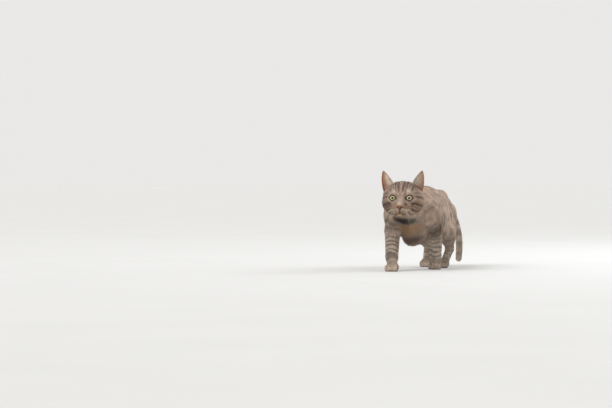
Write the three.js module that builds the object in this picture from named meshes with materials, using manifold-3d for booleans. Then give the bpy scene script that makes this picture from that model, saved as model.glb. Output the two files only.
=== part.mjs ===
// A life-size domestic shorthair cat in mid-walk: head held level with the back, right forepaw reaching
// ahead, left hind paw set down under the belly, tail hanging behind the left thigh, its tip turned up.
// The cat faces -Y, its left side is +X, and all four soles stand on z = 0. Millimetres, to the coat's tips.
//
// The body is one blended form: muscle and bone masses (cones with round ends, and ellipsoids) flow into
// each other, and a net of triangles is drawn over them, fine on the head and feet. The form is then parted
// at the joints by thin discs, and at the shoulders and thighs by barrels that hold the upper limbs.
import * as THREE from "three";
import { mergeVertices } from "three/addons/utils/BufferGeometryUtils.js";
import Module from "manifold-3d";

const wasm = await Module();
wasm.setup();

// ---- driving dimensions -------------------------------------------------------------------------------
const CUT = 0.3; // width of the gaps between pieces
const SLIVER = 0.01; // points of a cut mesh nearer than this are one
const EYE_HEIGHT = 187; // floor to the middle of the eyes
const EYES_AHEAD = 215; // middle of the trunk to the eyes
const HEAD_YAW = THREE.MathUtils.degToRad(7.5); // the head turns a little to the cat's left
const EYE_SPACING = 41.5; // centre to centre
const EYE_RADIUS = 10.5;
const EYE_PROUD = 3.4; // how far an eyeball stands out of the coat round it
const TAIL_ROOT_RADIUS = 17;
const TAIL_TIP_RADIUS = 7.5;
const TAIL_STEPS = 22;

// The sides of the net's cells, region by region.
const HEAD_CELL = 7.8;
const NECK_CELL = 16;
const TRUNK_CELL = 20;
const LIMB_CELL = 13.5;
const FOOT_CELL = 7.5;
const TAIL_CELL = 9.8;

const v = (x, y, z) => new THREE.Vector3(x, y, z);

// Head frame: x to the cat's left, f forward, u up, from the point midway between the eyes.
const headMiddle = v(0, -EYES_AHEAD, EYE_HEIGHT);
const headTurn = new THREE.Quaternion().setFromAxisAngle(v(0, 0, 1), HEAD_YAW);
const onHead = (x, f, u) => v(x, -f, u).applyQuaternion(headTurn).add(headMiddle);

// ---- joints of the pose -------------------------------------------------------------------------------
const joints = {
  fore_left: {
    blade: v(20, -70, 188), shoulder: v(39, -96, 146), elbow: v(46, -44, 106),
    wrist: v(41, -25, 32), toes: v(40, -20, 0),
  },
  fore_right: {
    blade: v(-20, -84, 188), shoulder: v(-40, -118, 144), elbow: v(-51, -108, 102),
    wrist: v(-39, -160, 36), toes: v(-34, -176, 0),
  },
  hind_left: {
    hip: v(21, 142, 146), knee: v(44, 90, 95), hock: v(40, 134, 48),
    ball: v(36, 92, 14), toes: v(35, 80, 0),
  },
  hind_right: {
    hip: v(-21, 142, 146), knee: v(-42, 112, 93), hock: v(-32, 186, 56),
    ball: v(-28, 154, 14), toes: v(-27, 142, 0),
  },
};
const tailPath = new THREE.CatmullRomCurve3([
  v(0, 176, 186), v(2, 208, 181), v(10, 236, 161), v(22, 248, 129), v(33, 249, 95),
  v(38, 248, 65), v(37, 252, 39), v(33, 265, 21), v(28, 284, 18), v(24, 301, 26),
]);

// ---- masses -------------------------------------------------------------------------------------------
// cone: two balls and the skin stretched between them. egg: an ellipsoid, on the body's or the head's axes.
// Each flows into the masses before it over the length `blend`; a dent is taken out of them instead.
const cone = (a, b, ra, rb, blend = 10) => ({ a, ab: b.clone().sub(a), ra, rb, blend });
const egg = (centre, radii, blend = 12, turn = null) => ({ centre, radii, blend, turn });
const headEgg = (x, f, u, rx, rf, ru, blend = 9) =>
  egg(onHead(x, f, u), v(rx, rf, ru), blend, headTurn.clone().invert());
const headDent = (...sizes) => ({ ...headEgg(...sizes), dent: true });
const bothSides = (make) => [make(1), make(-1)].flat();

const trunkMasses = [
  egg(v(0, 20, 139), v(55, 114, 73), 0), // rib cage and loin
  egg(v(0, -66, 146), v(48, 66, 66), 24), // chest
  egg(v(0, 92, 133), v(52, 78, 61), 24), // belly
  egg(v(0, 146, 149), v(40, 60, 53), 22), // rump
  egg(v(0, 28, 180), v(21, 132, 30), 24), // long back muscles
  cone(v(-2, -112, 128), v(0, -70, 106), 27, 31, 18), // breastbone
  egg(v(-13, -56, 100), v(25, 62, 36), 12), // brisket, low between the elbows
];
const neckMasses = [
  cone(onHead(4, -56, -8), v(0, -84, 164), 44, 45, 18), // neck
  cone(onHead(0, -46, -26), v(0, -104, 134), 26, 34, 16), // throat
];
const headMasses = [
  headEgg(0, -37, 5, 41, 42, 38, 8), // skull
  headEgg(0, -20, 17, 28, 25, 20, 10), // forehead
  ...bothSides((s) => [
    headEgg(s * 28.5, -30, -12, 24.5, 26, 27, 12), // cheek
    headEgg(s * 32, -42, 8, 19, 20, 19, 12), // temple
    headEgg(s * 19, -12, -28, 20, 24, 18, 10), // jowl
    headEgg(s * 20, -8, 9, 14, 13, 11, 8), // brow
    headEgg(s * 14, 5, -13, 10, 12, 10, 8), // cheekbone, beside the nose
    headDent(s * 22, 15, 2, 11, 8, 9, 6), // orbit
    headEgg(s * 10.5, 16, -30, 12, 12, 11, 6), // whisker pad
  ]),
  cone(onHead(0, -1, 5), onHead(0, 17, -18), 12.5, 9.5, 8), // bridge of the nose
  headEgg(0, 22, -22, 8, 7, 6.5, 5), // tip of the nose
  headEgg(0, 14, -39.5, 13, 11.5, 9, 6), // chin
];

function forelegMasses({ blade, shoulder, elbow, wrist, toes }) {
  return [
    cone(blade, shoulder, 20, 29, 26),
    cone(shoulder, elbow, 28, 20, 16),
    cone(elbow, wrist, 20, 15.5, 8),
    ...pawMasses(wrist, toes, 18, 14),
  ];
}
function hindLegMasses({ hip, knee, hock, ball, toes }) {
  const hamstring = hip.clone().add(v(-Math.sign(hip.x) * 2, 26, -8));
  const calf = knee.clone().lerp(hock, 0.45);
  return [
    cone(hip, knee, 31, 23, 20),
    cone(hamstring, calf, 28, 15, 18),
    cone(knee, hock, 20, 11.5, 12),
    cone(hock, ball, 11.5, 11, 6),
    ...pawMasses(ball, toes, 16, 10),
  ];
}
// A paw: the palm, and four toes fanned round the front of it, pointing ahead.
function pawMasses(from, toes, halfWidth, ankle) {
  const palm = v(toes.x, toes.y + 4, 10);
  const fan = [-1, -0.36, 0.36, 1].map((place) => {
    const toe = v(toes.x + place * (halfWidth - 6), toes.y - 12.5 + 5 * Math.abs(place), 7.5);
    return egg(toe, v(5.8, 9.5, 9.5), 3);
  });
  return [cone(from, palm, ankle, 12, 8), egg(palm, v(halfWidth - 1, 15, 12), 7), ...fan];
}
// The tail thins quickly at its root, then slowly to its blunt tip.
function tailMasses() {
  const points = tailPath.getSpacedPoints(TAIL_STEPS);
  const thinned = (i) => Math.pow(i / TAIL_STEPS, 0.45);
  const radius = (i) => THREE.MathUtils.lerp(TAIL_ROOT_RADIUS, TAIL_TIP_RADIUS, thinned(i));
  return points.slice(1).map((p, i) => cone(points[i], p, radius(i), radius(i + 1), i < 2 ? 18 : 4));
}

const bodyMasses = (tailLengths) => [
  ...trunkMasses,
  ...neckMasses,
  ...forelegMasses(joints.fore_left),
  ...forelegMasses(joints.fore_right),
  ...hindLegMasses(joints.hind_left),
  ...hindLegMasses(joints.hind_right),
  ...tailMasses().slice(0, tailLengths),
  ...headMasses,
];
const wholeBody = bodyMasses(TAIL_STEPS);
const docked = bodyMasses(5); // only the root of the tail, for the coarse net over the trunk

// ---- the distance from a point to the blended form ----------------------------------------------------
function distanceToMass(mass, p) {
  if (mass.ab) {
    const away = p.clone().sub(mass.a);
    const t = THREE.MathUtils.clamp(away.dot(mass.ab) / mass.ab.lengthSq(), 0, 1);
    return away.addScaledVector(mass.ab, -t).length() - THREE.MathUtils.lerp(mass.ra, mass.rb, t);
  }
  const away = p.clone().sub(mass.centre);
  if (mass.turn) away.applyQuaternion(mass.turn);
  const near = away.divide(mass.radii).length();
  const steep = away.divide(mass.radii).length();
  return near < 1e-6 ? -mass.radii.x : (near * (near - 1)) / steep;
}
function blended(a, b, reach) {
  const h = Math.max(reach - Math.abs(a - b), 0) / Math.max(reach, 1e-6);
  return Math.min(a, b) - (h * h * reach) / 4;
}
function distanceTo(p, masses = wholeBody) {
  let d = distanceToMass(masses[0], p);
  for (const mass of masses.slice(1)) {
    const next = distanceToMass(mass, p);
    d = mass.dent ? -blended(-d, next, mass.blend) : blended(d, next, mass.blend);
  }
  return d;
}
// Where the form's outside lies, going from a point along a direction.
function outsideFrom(start, along) {
  const p = start.clone();
  for (let step = 0; step < 60; step++) p.addScaledVector(along, -0.7 * distanceTo(p));
  return p;
}

// ---- a net drawn over the form, inside a box ----------------------------------------------------------
// One point stands in each cell that the surface passes through, and four points round each crossed edge of
// the grid make two triangles. `grow` draws the net that far outside the form.
const CELL_EDGES = [[1, 0, 0], [0, 1, 0], [0, 0, 1]];
const CELL_CORNERS = [0, 1, 2, 3, 4, 5, 6, 7].map((n) => [n & 1, (n >> 1) & 1, (n >> 2) & 1]);

function netOver(low, high, cell, grow, masses) {
  const [nx, ny, nz] = high.clone().sub(low).toArray().map((size) => Math.ceil(size / cell) + 1);
  const at = (i, j, k) => (k * ny + j) * nx + i;
  const corner = (i, j, k) => low.clone().add(v(i, j, k).multiplyScalar(cell));
  const depth = new Float32Array(nx * ny * nz);
  eachCell(nx, ny, nz, (i, j, k) => {
    const edge = i === 0 || j === 0 || k === 0 || i === nx - 1 || j === ny - 1 || k === nz - 1;
    depth[at(i, j, k)] = edge ? cell : distanceTo(corner(i, j, k), masses) - grow;
  });
  for (let pass = 0; pass < 3; pass++) closeCreases(depth, at, nx, ny, nz);

  const points = [];
  const pointOf = new Map();
  eachCell(nx - 1, ny - 1, nz - 1, (i, j, k) => {
    const sum = v(0, 0, 0);
    let crossings = 0;
    for (const [a, b, c] of CELL_CORNERS) {
      for (const [da, db, dc] of CELL_EDGES) {
        if (a + da > 1 || b + db > 1 || c + dc > 1) continue;
        const d0 = depth[at(i + a, j + b, k + c)];
        const d1 = depth[at(i + a + da, j + b + db, k + c + dc)];
        if (d0 < 0 === d1 < 0) continue;
        const t = d0 / (d0 - d1);
        sum.add(corner(i + a + da * t, j + b + db * t, k + c + dc * t));
        crossings++;
      }
    }
    if (!crossings) return;
    pointOf.set(at(i, j, k), points.length);
    points.push(settled(sum.divideScalar(crossings), cell, grow, masses));
  });

  const index = [];
  eachCell(nx - 1, ny - 1, nz - 1, (i, j, k) => {
    const inside = depth[at(i, j, k)] < 0;
    CELL_EDGES.forEach(([di, dj, dk], axis) => {
      if (inside === depth[at(i + di, j + dj, k + dk)] < 0) return;
      const [p, q] = [CELL_EDGES[(axis + 1) % 3], CELL_EDGES[(axis + 2) % 3]];
      const ring = [[0, 0], [1, 0], [1, 1], [0, 1]].map(([a, b]) =>
        pointOf.get(at(i - a * p[0] - b * q[0], j - a * p[1] - b * q[1], k - a * p[2] - b * q[2])));
      if (!inside) ring.reverse();
      const [a, b, c, d] = ring;
      const short = points[a].distanceTo(points[c]) < points[b].distanceTo(points[d]);
      index.push(...(short ? [a, b, c, a, c, d] : [a, b, d, b, c, d]));
    });
  });
  return new THREE.BufferGeometry().setFromPoints(points).setIndex(index);
}
// Where the corners round a cell's face are in and out by turns, the outer one nearest to the form is taken
// as in, so that no more than two triangles meet on an edge.
function closeCreases(depth, at, nx, ny, nz) {
  eachCell(nx - 1, ny - 1, nz - 1, (i, j, k) => {
    CELL_EDGES.forEach((p, axis) => {
      const q = CELL_EDGES[(axis + 1) % 3];
      const ring = [[0, 0], [1, 0], [1, 1], [0, 1]].map(([a, b]) =>
        at(i + a * p[0] + b * q[0], j + a * p[1] + b * q[1], k + a * p[2] + b * q[2]));
      const outer = ring.filter((corner) => depth[corner] >= 0).sort((c, d) => depth[c] - depth[d]);
      const apart = outer.length === 2 ? Math.abs(ring.indexOf(outer[0]) - ring.indexOf(outer[1])) : 0;
      if (apart === 2) depth[outer[0]] = -0.01;
    });
  });
}
function eachCell(nx, ny, nz, visit) {
  for (let k = 0; k < nz; k++) for (let j = 0; j < ny; j++) for (let i = 0; i < nx; i++) visit(i, j, k);
}
// A point of the net moved onto the form, unless that takes it far from its cell.
function settled(start, cell, grow, masses) {
  const p = start.clone();
  const step = 0.5;
  for (let pass = 0; pass < 2; pass++) {
    const d = distanceTo(p, masses);
    const beside = CELL_EDGES.map((axis) => p.clone().addScaledVector(v(...axis), step));
    const rises = beside.map((place) => distanceTo(place, masses) - d);
    const slope = v(...rises).divideScalar(step);
    p.addScaledVector(slope, (grow - d) / Math.max(slope.lengthSq(), 0.25));
  }
  return p.distanceTo(start) > 0.6 * cell ? start : p;
}

// ---- solids -------------------------------------------------------------------------------------------
function solidOf(geometry) {
  const bare = geometry.clone();
  bare.deleteAttribute("normal");
  bare.deleteAttribute("uv");
  const merged = mergeVertices(bare, 1e-3);
  return new wasm.Manifold(
    new wasm.Mesh({
      numProp: 3,
      vertProperties: new Float32Array(merged.attributes.position.array),
      triVerts: new Uint32Array(merged.index.array),
    }),
  );
}
// The solid's mesh, with points nearer than SLIVER drawn together and what they collapse left out.
function geometryOf(solid) {
  const { vertProperties, triVerts } = solid.getMesh();
  const cut = new THREE.BufferGeometry();
  cut.setAttribute("position", new THREE.BufferAttribute(vertProperties, 3));
  const merged = mergeVertices(cut.setIndex(new THREE.BufferAttribute(triVerts, 1)), SLIVER);
  const corners = merged.index.array;
  const index = [];
  for (let i = 0; i < corners.length; i += 3) {
    const [a, b, c] = corners.slice(i, i + 3);
    if (a !== b && b !== c && c !== a) index.push(a, b, c);
  }
  return merged.setIndex(index);
}
const without = (solid, cutters) => cutters.reduce((rest, cutter) => rest.subtract(cutter), solid);

// A thin disc that parts the body at a joint, square to a direction.
function disc(centre, along, radius) {
  const shape = new THREE.CylinderGeometry(radius, radius, CUT, 20);
  shape.applyQuaternion(new THREE.Quaternion().setFromUnitVectors(v(0, 1, 0), along.clone().normalize()));
  return solidOf(shape.translate(...centre.toArray()));
}
// A barrel round the upper part of a limb: what of the body lies in it goes with the limb. Its sides follow
// round^2 + height^4 = 1, so it is fuller towards its ends than a ball.
function barrel({ top, bottom, width, thickness }, grow) {
  const shape = new THREE.SphereGeometry(1, 12, 8);
  const { position } = shape.attributes;
  const p = v(0, 0, 0);
  for (let i = 0; i < position.count; i++) {
    p.fromBufferAttribute(position, i);
    const round = p.x * p.x + p.z * p.z;
    const flat = Math.pow(p.y, 4);
    const reach = (Math.sqrt(round * round + 4 * flat) - round) / (2 * flat);
    if (flat > 1e-6) p.multiplyScalar(Math.sqrt(reach));
    position.setXYZ(i, p.x, p.y, p.z);
  }
  shape.scale(thickness + grow, top.distanceTo(bottom) / 2 + grow, width + grow);
  const along = bottom.clone().sub(top).normalize();
  shape.applyQuaternion(new THREE.Quaternion().setFromUnitVectors(v(0, -1, 0), along));
  return solidOf(shape.translate(...top.clone().lerp(bottom, 0.5).toArray()));
}
function ball(centre, radii, turn) {
  const shape = new THREE.SphereGeometry(1, 12, 8).rotateX(Math.PI / 2).scale(...radii);
  return solidOf(shape.applyQuaternion(turn).translate(...centre.toArray()));
}
// The piece of a cut solid whose surface passes nearest to a point.
function pieceAt(solid, place) {
  const gapTo = (piece) => {
    const { vertProperties } = piece.getMesh();
    let gap = Infinity;
    for (let i = 0; i < vertProperties.length; i += 3) {
      gap = Math.min(gap, place.distanceTo(v(...vertProperties.slice(i, i + 3))));
    }
    return gap;
  };
  const crumb = 200; // mm3
  const pieces = solid.decompose().filter((piece) => piece.volume() > crumb);
  return pieces.sort((a, b) => gapTo(a) - gapTo(b))[0];
}

// ---- materials and nodes ------------------------------------------------------------------------------
const coat = new THREE.MeshStandardMaterial({ color: 0x8f8379, roughness: 0.9, metalness: 0 });
const earSkin = new THREE.MeshStandardMaterial({ color: 0xa58d80, roughness: 0.8, metalness: 0 });
const noseLeather = new THREE.MeshStandardMaterial({ color: 0xa65a48, roughness: 0.5, metalness: 0 });
const eyeball = new THREE.MeshStandardMaterial({ color: 0xb9b765, roughness: 0.1, metalness: 0 });

const cat = new THREE.Group();
cat.name = "cat";
function addPiece(name, solid, material) {
  const mesh = new THREE.Mesh(geometryOf(solid), material);
  mesh.name = name;
  cat.add(mesh);
}

// ---- where the body is parted -------------------------------------------------------------------------
const net = (low, high, cell, grow = 0, masses = wholeBody) =>
  solidOf(netOver(low, high, cell, grow, masses));
const ground = solidOf(new THREE.BoxGeometry(600, 900, 60).translate(0, 0, -30));

const headCut = disc(onHead(0, -66, -8), onHead(0, -1, -0.12).sub(headMiddle), 74);
const neckCut = disc(v(0, -124, 162), v(0, -0.93, 0.36), 66);
const tailCuts = [0.18, 0.45, 0.72].map((t) => disc(tailPath.getPointAt(t), tailPath.getTangentAt(t), 28));

const barrels = {};
const limbCuts = [];
for (const [name, places] of Object.entries(joints)) {
  const { shoulder, elbow, wrist, hip, knee, hock, ball: sole, toes } = places;
  const out = Math.sign(toes.x);
  if (shoulder) {
    const top = shoulder.clone().add(v(out * 6, 8, 44));
    const bottom = elbow.clone().lerp(wrist, 0.25).add(v(out * 2, 2, -46));
    barrels[name] = { top, bottom, width: 43, thickness: 32 };
    limbCuts.push(disc(elbow.clone().lerp(wrist, 0.9), wrist.clone().sub(elbow), 24));
  } else {
    const top = hip.clone().add(v(out * 12, 14, 46));
    const bottom = knee.clone().add(v(out * 2, 8, -42));
    barrels[name] = { top, bottom, width: 54, thickness: 34 };
    limbCuts.push(disc(hock.clone().lerp(sole, 0.4), sole.clone().sub(hock), 19));
  }
}
const hollows = Object.values(barrels).map((sizes) => barrel(sizes, CUT));

// ---- trunk and neck -----------------------------------------------------------------------------------
const trunkNet = net(v(-80, -200, 58), v(80, 260, 250), TRUNK_CELL, 0, docked);
addPiece("trunk", pieceAt(without(trunkNet, [...hollows, neckCut, tailCuts[0]]), v(0, 40, 150)), coat);
const neckNet = net(v(-80, -190, 84), v(80, -80, 240), NECK_CELL);
addPiece("neck", pieceAt(without(neckNet, [...hollows, neckCut, headCut]), v(0, -136, 170)), coat);

// ---- limbs --------------------------------------------------------------------------------------------
const limbsNet = net(v(-88, -200, -10), v(88, 226, 234), LIMB_CELL).subtract(ground);
const lowerLimbs = without(limbsNet, [...hollows, ...limbCuts]);
for (const [name, { shoulder, elbow, wrist, hip, knee, hock, toes }] of Object.entries(joints)) {
  const side = name.split("_")[1];
  const [upperName, lowerName, footName] = shoulder
    ? ["upper_arm_", "forearm_", "forepaw_"]
    : ["thigh_", "shank_", "hind_foot_"];
  const upperMiddle = (shoulder ?? hip).clone().lerp(elbow ?? knee, 0.5);
  const lowerMiddle = shoulder ? elbow.clone().lerp(wrist, 0.75) : hock;
  const ankle = wrist ?? hock;
  const footLow = v(toes.x - 32, toes.y - 32, -8);
  const footHigh = v(toes.x + 32, ankle.y + 26, ankle.z + 24);
  const foot = without(net(footLow, footHigh, FOOT_CELL), [ground, ...limbCuts]);
  addPiece(upperName + side, pieceAt(limbsNet.intersect(barrel(barrels[name], 0)), upperMiddle), coat);
  addPiece(lowerName + side, pieceAt(lowerLimbs, lowerMiddle), coat);
  addPiece(footName + side, pieceAt(foot, v(toes.x, toes.y, 10)), coat);
}

// ---- tail ---------------------------------------------------------------------------------------------
const tailNet = without(net(v(-34, 200, 2), v(72, 318, 216), TAIL_CELL), tailCuts);
const tailParts = { tail_root: 0.3, tail_middle: 0.58, tail_tip: 0.88 };
for (const [name, t] of Object.entries(tailParts)) {
  addPiece(name, pieceAt(tailNet, tailPath.getPointAt(t)), coat);
}

// ---- head, eyes and nose ------------------------------------------------------------------------------
const headBox = [v(-68, -264, 116), v(72, -116, 250)];
let head = pieceAt(net(...headBox, HEAD_CELL).subtract(headCut), headMiddle);
for (const [side, s] of [["left", 1], ["right", -1]]) {
  const gaze = onHead(s * 0.2, 1, 0.02).sub(headMiddle).normalize();
  const front = outsideFrom(onHead((s * EYE_SPACING) / 2, 0, 0), gaze);
  const centre = front.addScaledVector(gaze, EYE_PROUD - EYE_RADIUS);
  const eye = (grow) => ball(centre, Array(3).fill(EYE_RADIUS + grow), headTurn);
  head = head.subtract(eye(CUT));
  addPiece("eye_" + side, eye(0), eyeball);
}
const nose = (grow) => ball(onHead(0, 27, -24), [7.6 + grow, 5 + grow, 5.2 + grow], headTurn);
head = head.subtract(nose(CUT));
addPiece("nose", nose(0), noseLeather);
addPiece("head", head, coat);

// ---- ears ---------------------------------------------------------------------------------------------
// An ear is a cupped leaf with its hollow ahead and outward. A flat box of cells is bent into that shape:
// a runs across it from the inner edge to the outer one, t up it, and s through it from front to back.
const ear = {
  foot: v(28.5, -42, 14), tip: v(47.5, -38, 68), halfWidth: 18.4, cup: 23, thickness: 3, opensOut: 0.46,
};
function earGeometry(side) {
  const rise = ear.tip.clone().sub(ear.foot);
  const ahead = v(Math.sin(ear.opensOut), Math.cos(ear.opensOut), 0.1);
  const across = rise.clone().cross(ahead).normalize();
  const geometry = new THREE.BoxGeometry(2, 1, 1, 8, 6, 1);
  const { position } = geometry.attributes;
  for (let i = 0; i < position.count; i++) {
    const a = side * position.getX(i);
    const t = position.getY(i) + 0.5;
    const s = 0.5 - position.getZ(i);
    const taper = Math.pow(1 - 0.98 * Math.pow(t, 1.7), 0.8);
    const bend = (a * Math.PI) / 2;
    const wall = s * ear.thickness * (1 - 0.45 * t) * (0.35 + 0.65 * Math.cos(bend * 0.9));
    const p = ear.foot.clone().addScaledVector(rise, t);
    p.addScaledVector(across, Math.sin(bend) * ear.halfWidth * taper + a * 0.4);
    p.addScaledVector(ahead, (0.45 - Math.cos(bend)) * ear.cup * taper + wall + 4 * t);
    position.setXYZ(i, ...onHead(side * p.x, p.y, p.z).toArray());
  }
  return geometry;
}
const headGrown = net(...headBox, HEAD_CELL, 2 * CUT);
for (const [side, s] of [["left", 1], ["right", -1]]) {
  const leaf = solidOf(earGeometry(s)).subtract(headGrown);
  addPiece("ear_" + side, pieceAt(leaf, onHead(s * ear.tip.x, ear.tip.y, ear.tip.z)), earSkin);
}

// The origin is the middle of the cat's outline on the floor.
const middle = new THREE.Box3().setFromObject(cat).getCenter(v(0, 0, 0));
cat.position.set(-middle.x, -middle.y, 0);

export default cat;
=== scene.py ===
from math import atan2, cos, pi, radians, sin

import bpy
import numpy as np
from mathutils import Matrix, Vector


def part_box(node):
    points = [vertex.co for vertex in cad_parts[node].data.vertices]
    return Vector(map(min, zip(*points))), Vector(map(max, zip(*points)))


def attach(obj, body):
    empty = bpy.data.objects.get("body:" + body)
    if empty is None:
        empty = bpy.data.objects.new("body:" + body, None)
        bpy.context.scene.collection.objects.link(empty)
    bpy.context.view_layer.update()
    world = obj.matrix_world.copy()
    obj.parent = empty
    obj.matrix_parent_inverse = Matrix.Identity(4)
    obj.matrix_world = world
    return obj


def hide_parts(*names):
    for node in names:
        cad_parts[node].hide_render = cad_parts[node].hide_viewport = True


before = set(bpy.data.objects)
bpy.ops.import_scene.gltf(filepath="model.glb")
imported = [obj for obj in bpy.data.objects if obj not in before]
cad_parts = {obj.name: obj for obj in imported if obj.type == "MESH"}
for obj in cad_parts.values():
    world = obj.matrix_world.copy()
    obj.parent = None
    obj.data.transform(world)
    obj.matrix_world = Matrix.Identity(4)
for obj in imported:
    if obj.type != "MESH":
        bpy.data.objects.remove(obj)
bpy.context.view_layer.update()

scene = bpy.context.scene
dice = np.random.default_rng(11)
mm = 0.001


def vec(*numbers):
    return np.array(numbers, dtype=float)


def unit(v):
    return v / np.maximum(np.linalg.norm(v, axis=-1, keepdims=True), 1e-9)


def ease(x, low, high):  # 0 below low, 1 above high, smooth between
    t = np.clip((x - low) / (high - low), 0, 1)
    return t * t * (3 - 2 * t)


def hump(x, width, power=2):  # 1 at x = 0, falling to 0 a few widths away
    return np.exp(-((x / width) ** power))


def middleOf(node):
    low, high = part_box(node)
    return np.array((low + high) / 2) / mm


def linear(red, green, blue):  # a colour as a screen shows it, 0 to 255
    c = vec(red, green, blue) / 255
    return np.where(c <= 0.04045, c / 12.92, ((c + 0.055) / 1.055) ** 2.4)


# ---------- the head's own axes, and the cat's place on the floor
headYaw = radians(7.5)
headLeft = vec(cos(headYaw), sin(headYaw), 0)
headAhead = vec(sin(headYaw), -cos(headYaw), 0)
headUp = vec(0, 0, 1)
headAxes = np.stack([headLeft, headAhead, headUp], axis=1)
betweenEyes = middleOf("nose") - 27 * headAhead + 24 * headUp
cornerShift = betweenEyes - vec(0, -215, 187)


def at(x, y, z):
    return vec(x, y, z) + cornerShift


def onHead(x, ahead, up):
    return betweenEyes + x * headLeft + ahead * headAhead + up * headUp


def toHead(points):  # to the head's own axes: left, ahead, up
    return (points - betweenEyes) @ headAxes


def fromHead(points):
    return betweenEyes + points @ headAxes.T


# ---------- camera and light
cameraView = {
    "azimuth": 15, "elevation": 0.6, "distance": 6.0, "pixel": 2.52, "eyesAt": (401.05, 197.9),
    "width": 612, "height": 408, "sensor": 36, "farEnd": 200,
}
lights = {
    "softbox": {
        "place": (1.9, 1.5, 1.5), "size": 1.2, "watts": 26, "tint": (0.94, 0.97, 1.0), "aimHeight": 0.12,
    },
    "sun": {"tilt": 49, "turn": -34, "strength": 1.42, "angle": 35},  # high on the left, very soft
    "sky": {"tint": (1.0, 0.99, 0.975, 1), "strength": 0.82},
}


def placeCamera():
    az, el = radians(cameraView["azimuth"]), radians(cameraView["elevation"])
    back = Vector((sin(az) * cos(el), -cos(az) * cos(el), sin(el)))
    focal = cameraView["distance"] / (cameraView["pixel"] * mm)  # in pixels of the frame
    turn = atan2(cameraView["eyesAt"][0] - cameraView["width"] / 2, focal)
    tilt = atan2(cameraView["height"] / 2 - cameraView["eyesAt"][1], focal)
    aim = (-back).to_track_quat("-Z", "Y").to_matrix()
    aim = aim @ Matrix.Rotation(turn, 3, "Y") @ Matrix.Rotation(-tilt, 3, "X")
    stand = Vector(betweenEyes * mm) + back * cameraView["distance"]
    bpy.ops.object.camera_add()
    camera = bpy.context.object
    camera.name = "camera"
    camera.matrix_world = Matrix.Translation(stand) @ aim.to_4x4()
    camera.data.sensor_width = cameraView["sensor"]
    camera.data.lens = focal * cameraView["sensor"] / cameraView["width"]
    camera.data.clip_end = cameraView["farEnd"]
    scene.camera = camera


def addSoftbox(name, place, size, watts, tint, aimHeight):
    bpy.ops.object.light_add(type="AREA", location=place)
    lamp = bpy.context.object
    lamp.name = name
    lamp.data.shape = "DISK"
    lamp.data.size = size
    lamp.data.energy = watts
    lamp.data.color = tint
    aim = Vector((0, 0, aimHeight)) - Vector(place)
    lamp.rotation_euler = aim.to_track_quat("-Z", "Y").to_euler()


def addSun(name, tilt, turn, strength, angle):
    bpy.ops.object.light_add(type="SUN", rotation=(radians(tilt), 0, radians(turn)))
    sun = bpy.context.object
    sun.name = name
    sun.data.energy = strength
    sun.data.angle = radians(angle)


def addSky(name, tint, strength):
    world = bpy.data.worlds.new(name)
    scene.world = world
    world.use_nodes = True
    background = world.node_tree.nodes["Background"]
    background.inputs["Color"].default_value = tint
    background.inputs["Strength"].default_value = strength


placeCamera()
addSoftbox("rimSoftbox", **lights["softbox"])
addSun("softSun", **lights["sun"])
addSky("softSky", **lights["sky"])
scene.view_settings.view_transform = "Standard"
print("camera and light placed")


# ---------- muscle and bone masses, as in the solids
# Each carries how its coat grows: lie (which way), hair (its length), depth (how thick it lies).
masses = []
around = 40  # how far past its surface a mass is still felt


def addMass(facts, coat):
    facts.update({"lie": vec(0, 1, 0), "start": 0.0, **coat})
    masses.append(facts)


def cone(a, b, ra, rb, **coat):
    length = np.linalg.norm(b - a)
    facts = {"a": a, "ab": b - a, "ra": ra, "rb": rb, "long": length, "lie": unit(b - a)}
    facts.update({"middle": (a + b) / 2, "bound": length / 2 + max(ra, rb) + around})
    addMass(facts, {"lie": unit(b - a), **coat})


def egg(centre, radii, axes=np.eye(3), **coat):
    facts = {"centre": centre, "radii": vec(*radii), "axes": axes, "long": 0.0}
    facts.update({"middle": centre, "bound": max(radii) + around})
    addMass(facts, coat)


def headEgg(x, ahead, up, radii, blend, **coat):
    egg(onHead(x, ahead, up), radii, headAxes, blend=blend, part="head", **coat)


trunkCoat = {"hair": 12, "depth": 3.4, "part": "trunk"}
egg(at(0, 20, 139), (55, 114, 73), **trunkCoat, blend=0.01, lie=unit(vec(0, 1, -0.35)))
egg(at(0, -66, 146), (48, 66, 66), **trunkCoat, blend=24, lie=unit(vec(0, 0.7, -0.7)))
egg(at(0, 92, 133), (52, 78, 61), **trunkCoat, blend=24, lie=unit(vec(0, 1, -0.35)))
egg(at(0, 146, 149), (40, 60, 53), **trunkCoat, blend=22, lie=unit(vec(0, 1, -0.5)))
egg(at(0, 28, 180), (21, 132, 30), **trunkCoat, blend=24, lie=unit(vec(0, 1, -0.05)))
cone(at(-2, -112, 128), at(0, -70, 106), 27, 31, **trunkCoat, blend=18, lie=unit(vec(0, 0.35, -1)))
egg(at(-13, -56, 100), (25, 62, 36), **trunkCoat, blend=12, lie=unit(vec(0, 1, -0.3)))

neckCoat = {"hair": 12.5, "depth": 3.9, "part": "neck"}
cone(onHead(4, -56, -8), at(0, -84, 164), 44, 45, **neckCoat, blend=18, lie=unit(vec(0, 1, -0.55)))
cone(onHead(0, -46, -26), at(0, -104, 134), 26, 34, **neckCoat, blend=16, lie=unit(vec(0, 0.3, -1)))

legPlaces = {  # from the blade to the toes, or from the hip to the toes
    "foreLeft": [(20, -70, 188), (39, -96, 146), (46, -44, 106), (41, -25, 32), (40, -20, 0)],
    "foreRight": [(-20, -84, 188), (-40, -118, 144), (-51, -108, 102), (-39, -160, 36), (-34, -176, 0)],
    "hindLeft": [(21, 142, 146), (44, 90, 95), (40, 134, 48), (36, 92, 14), (35, 80, 0)],
    "hindRight": [(-21, 142, 146), (-42, 112, 93), (-32, 186, 56), (-28, 154, 14), (-27, 142, 0)],
}
toeTips = []


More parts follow.
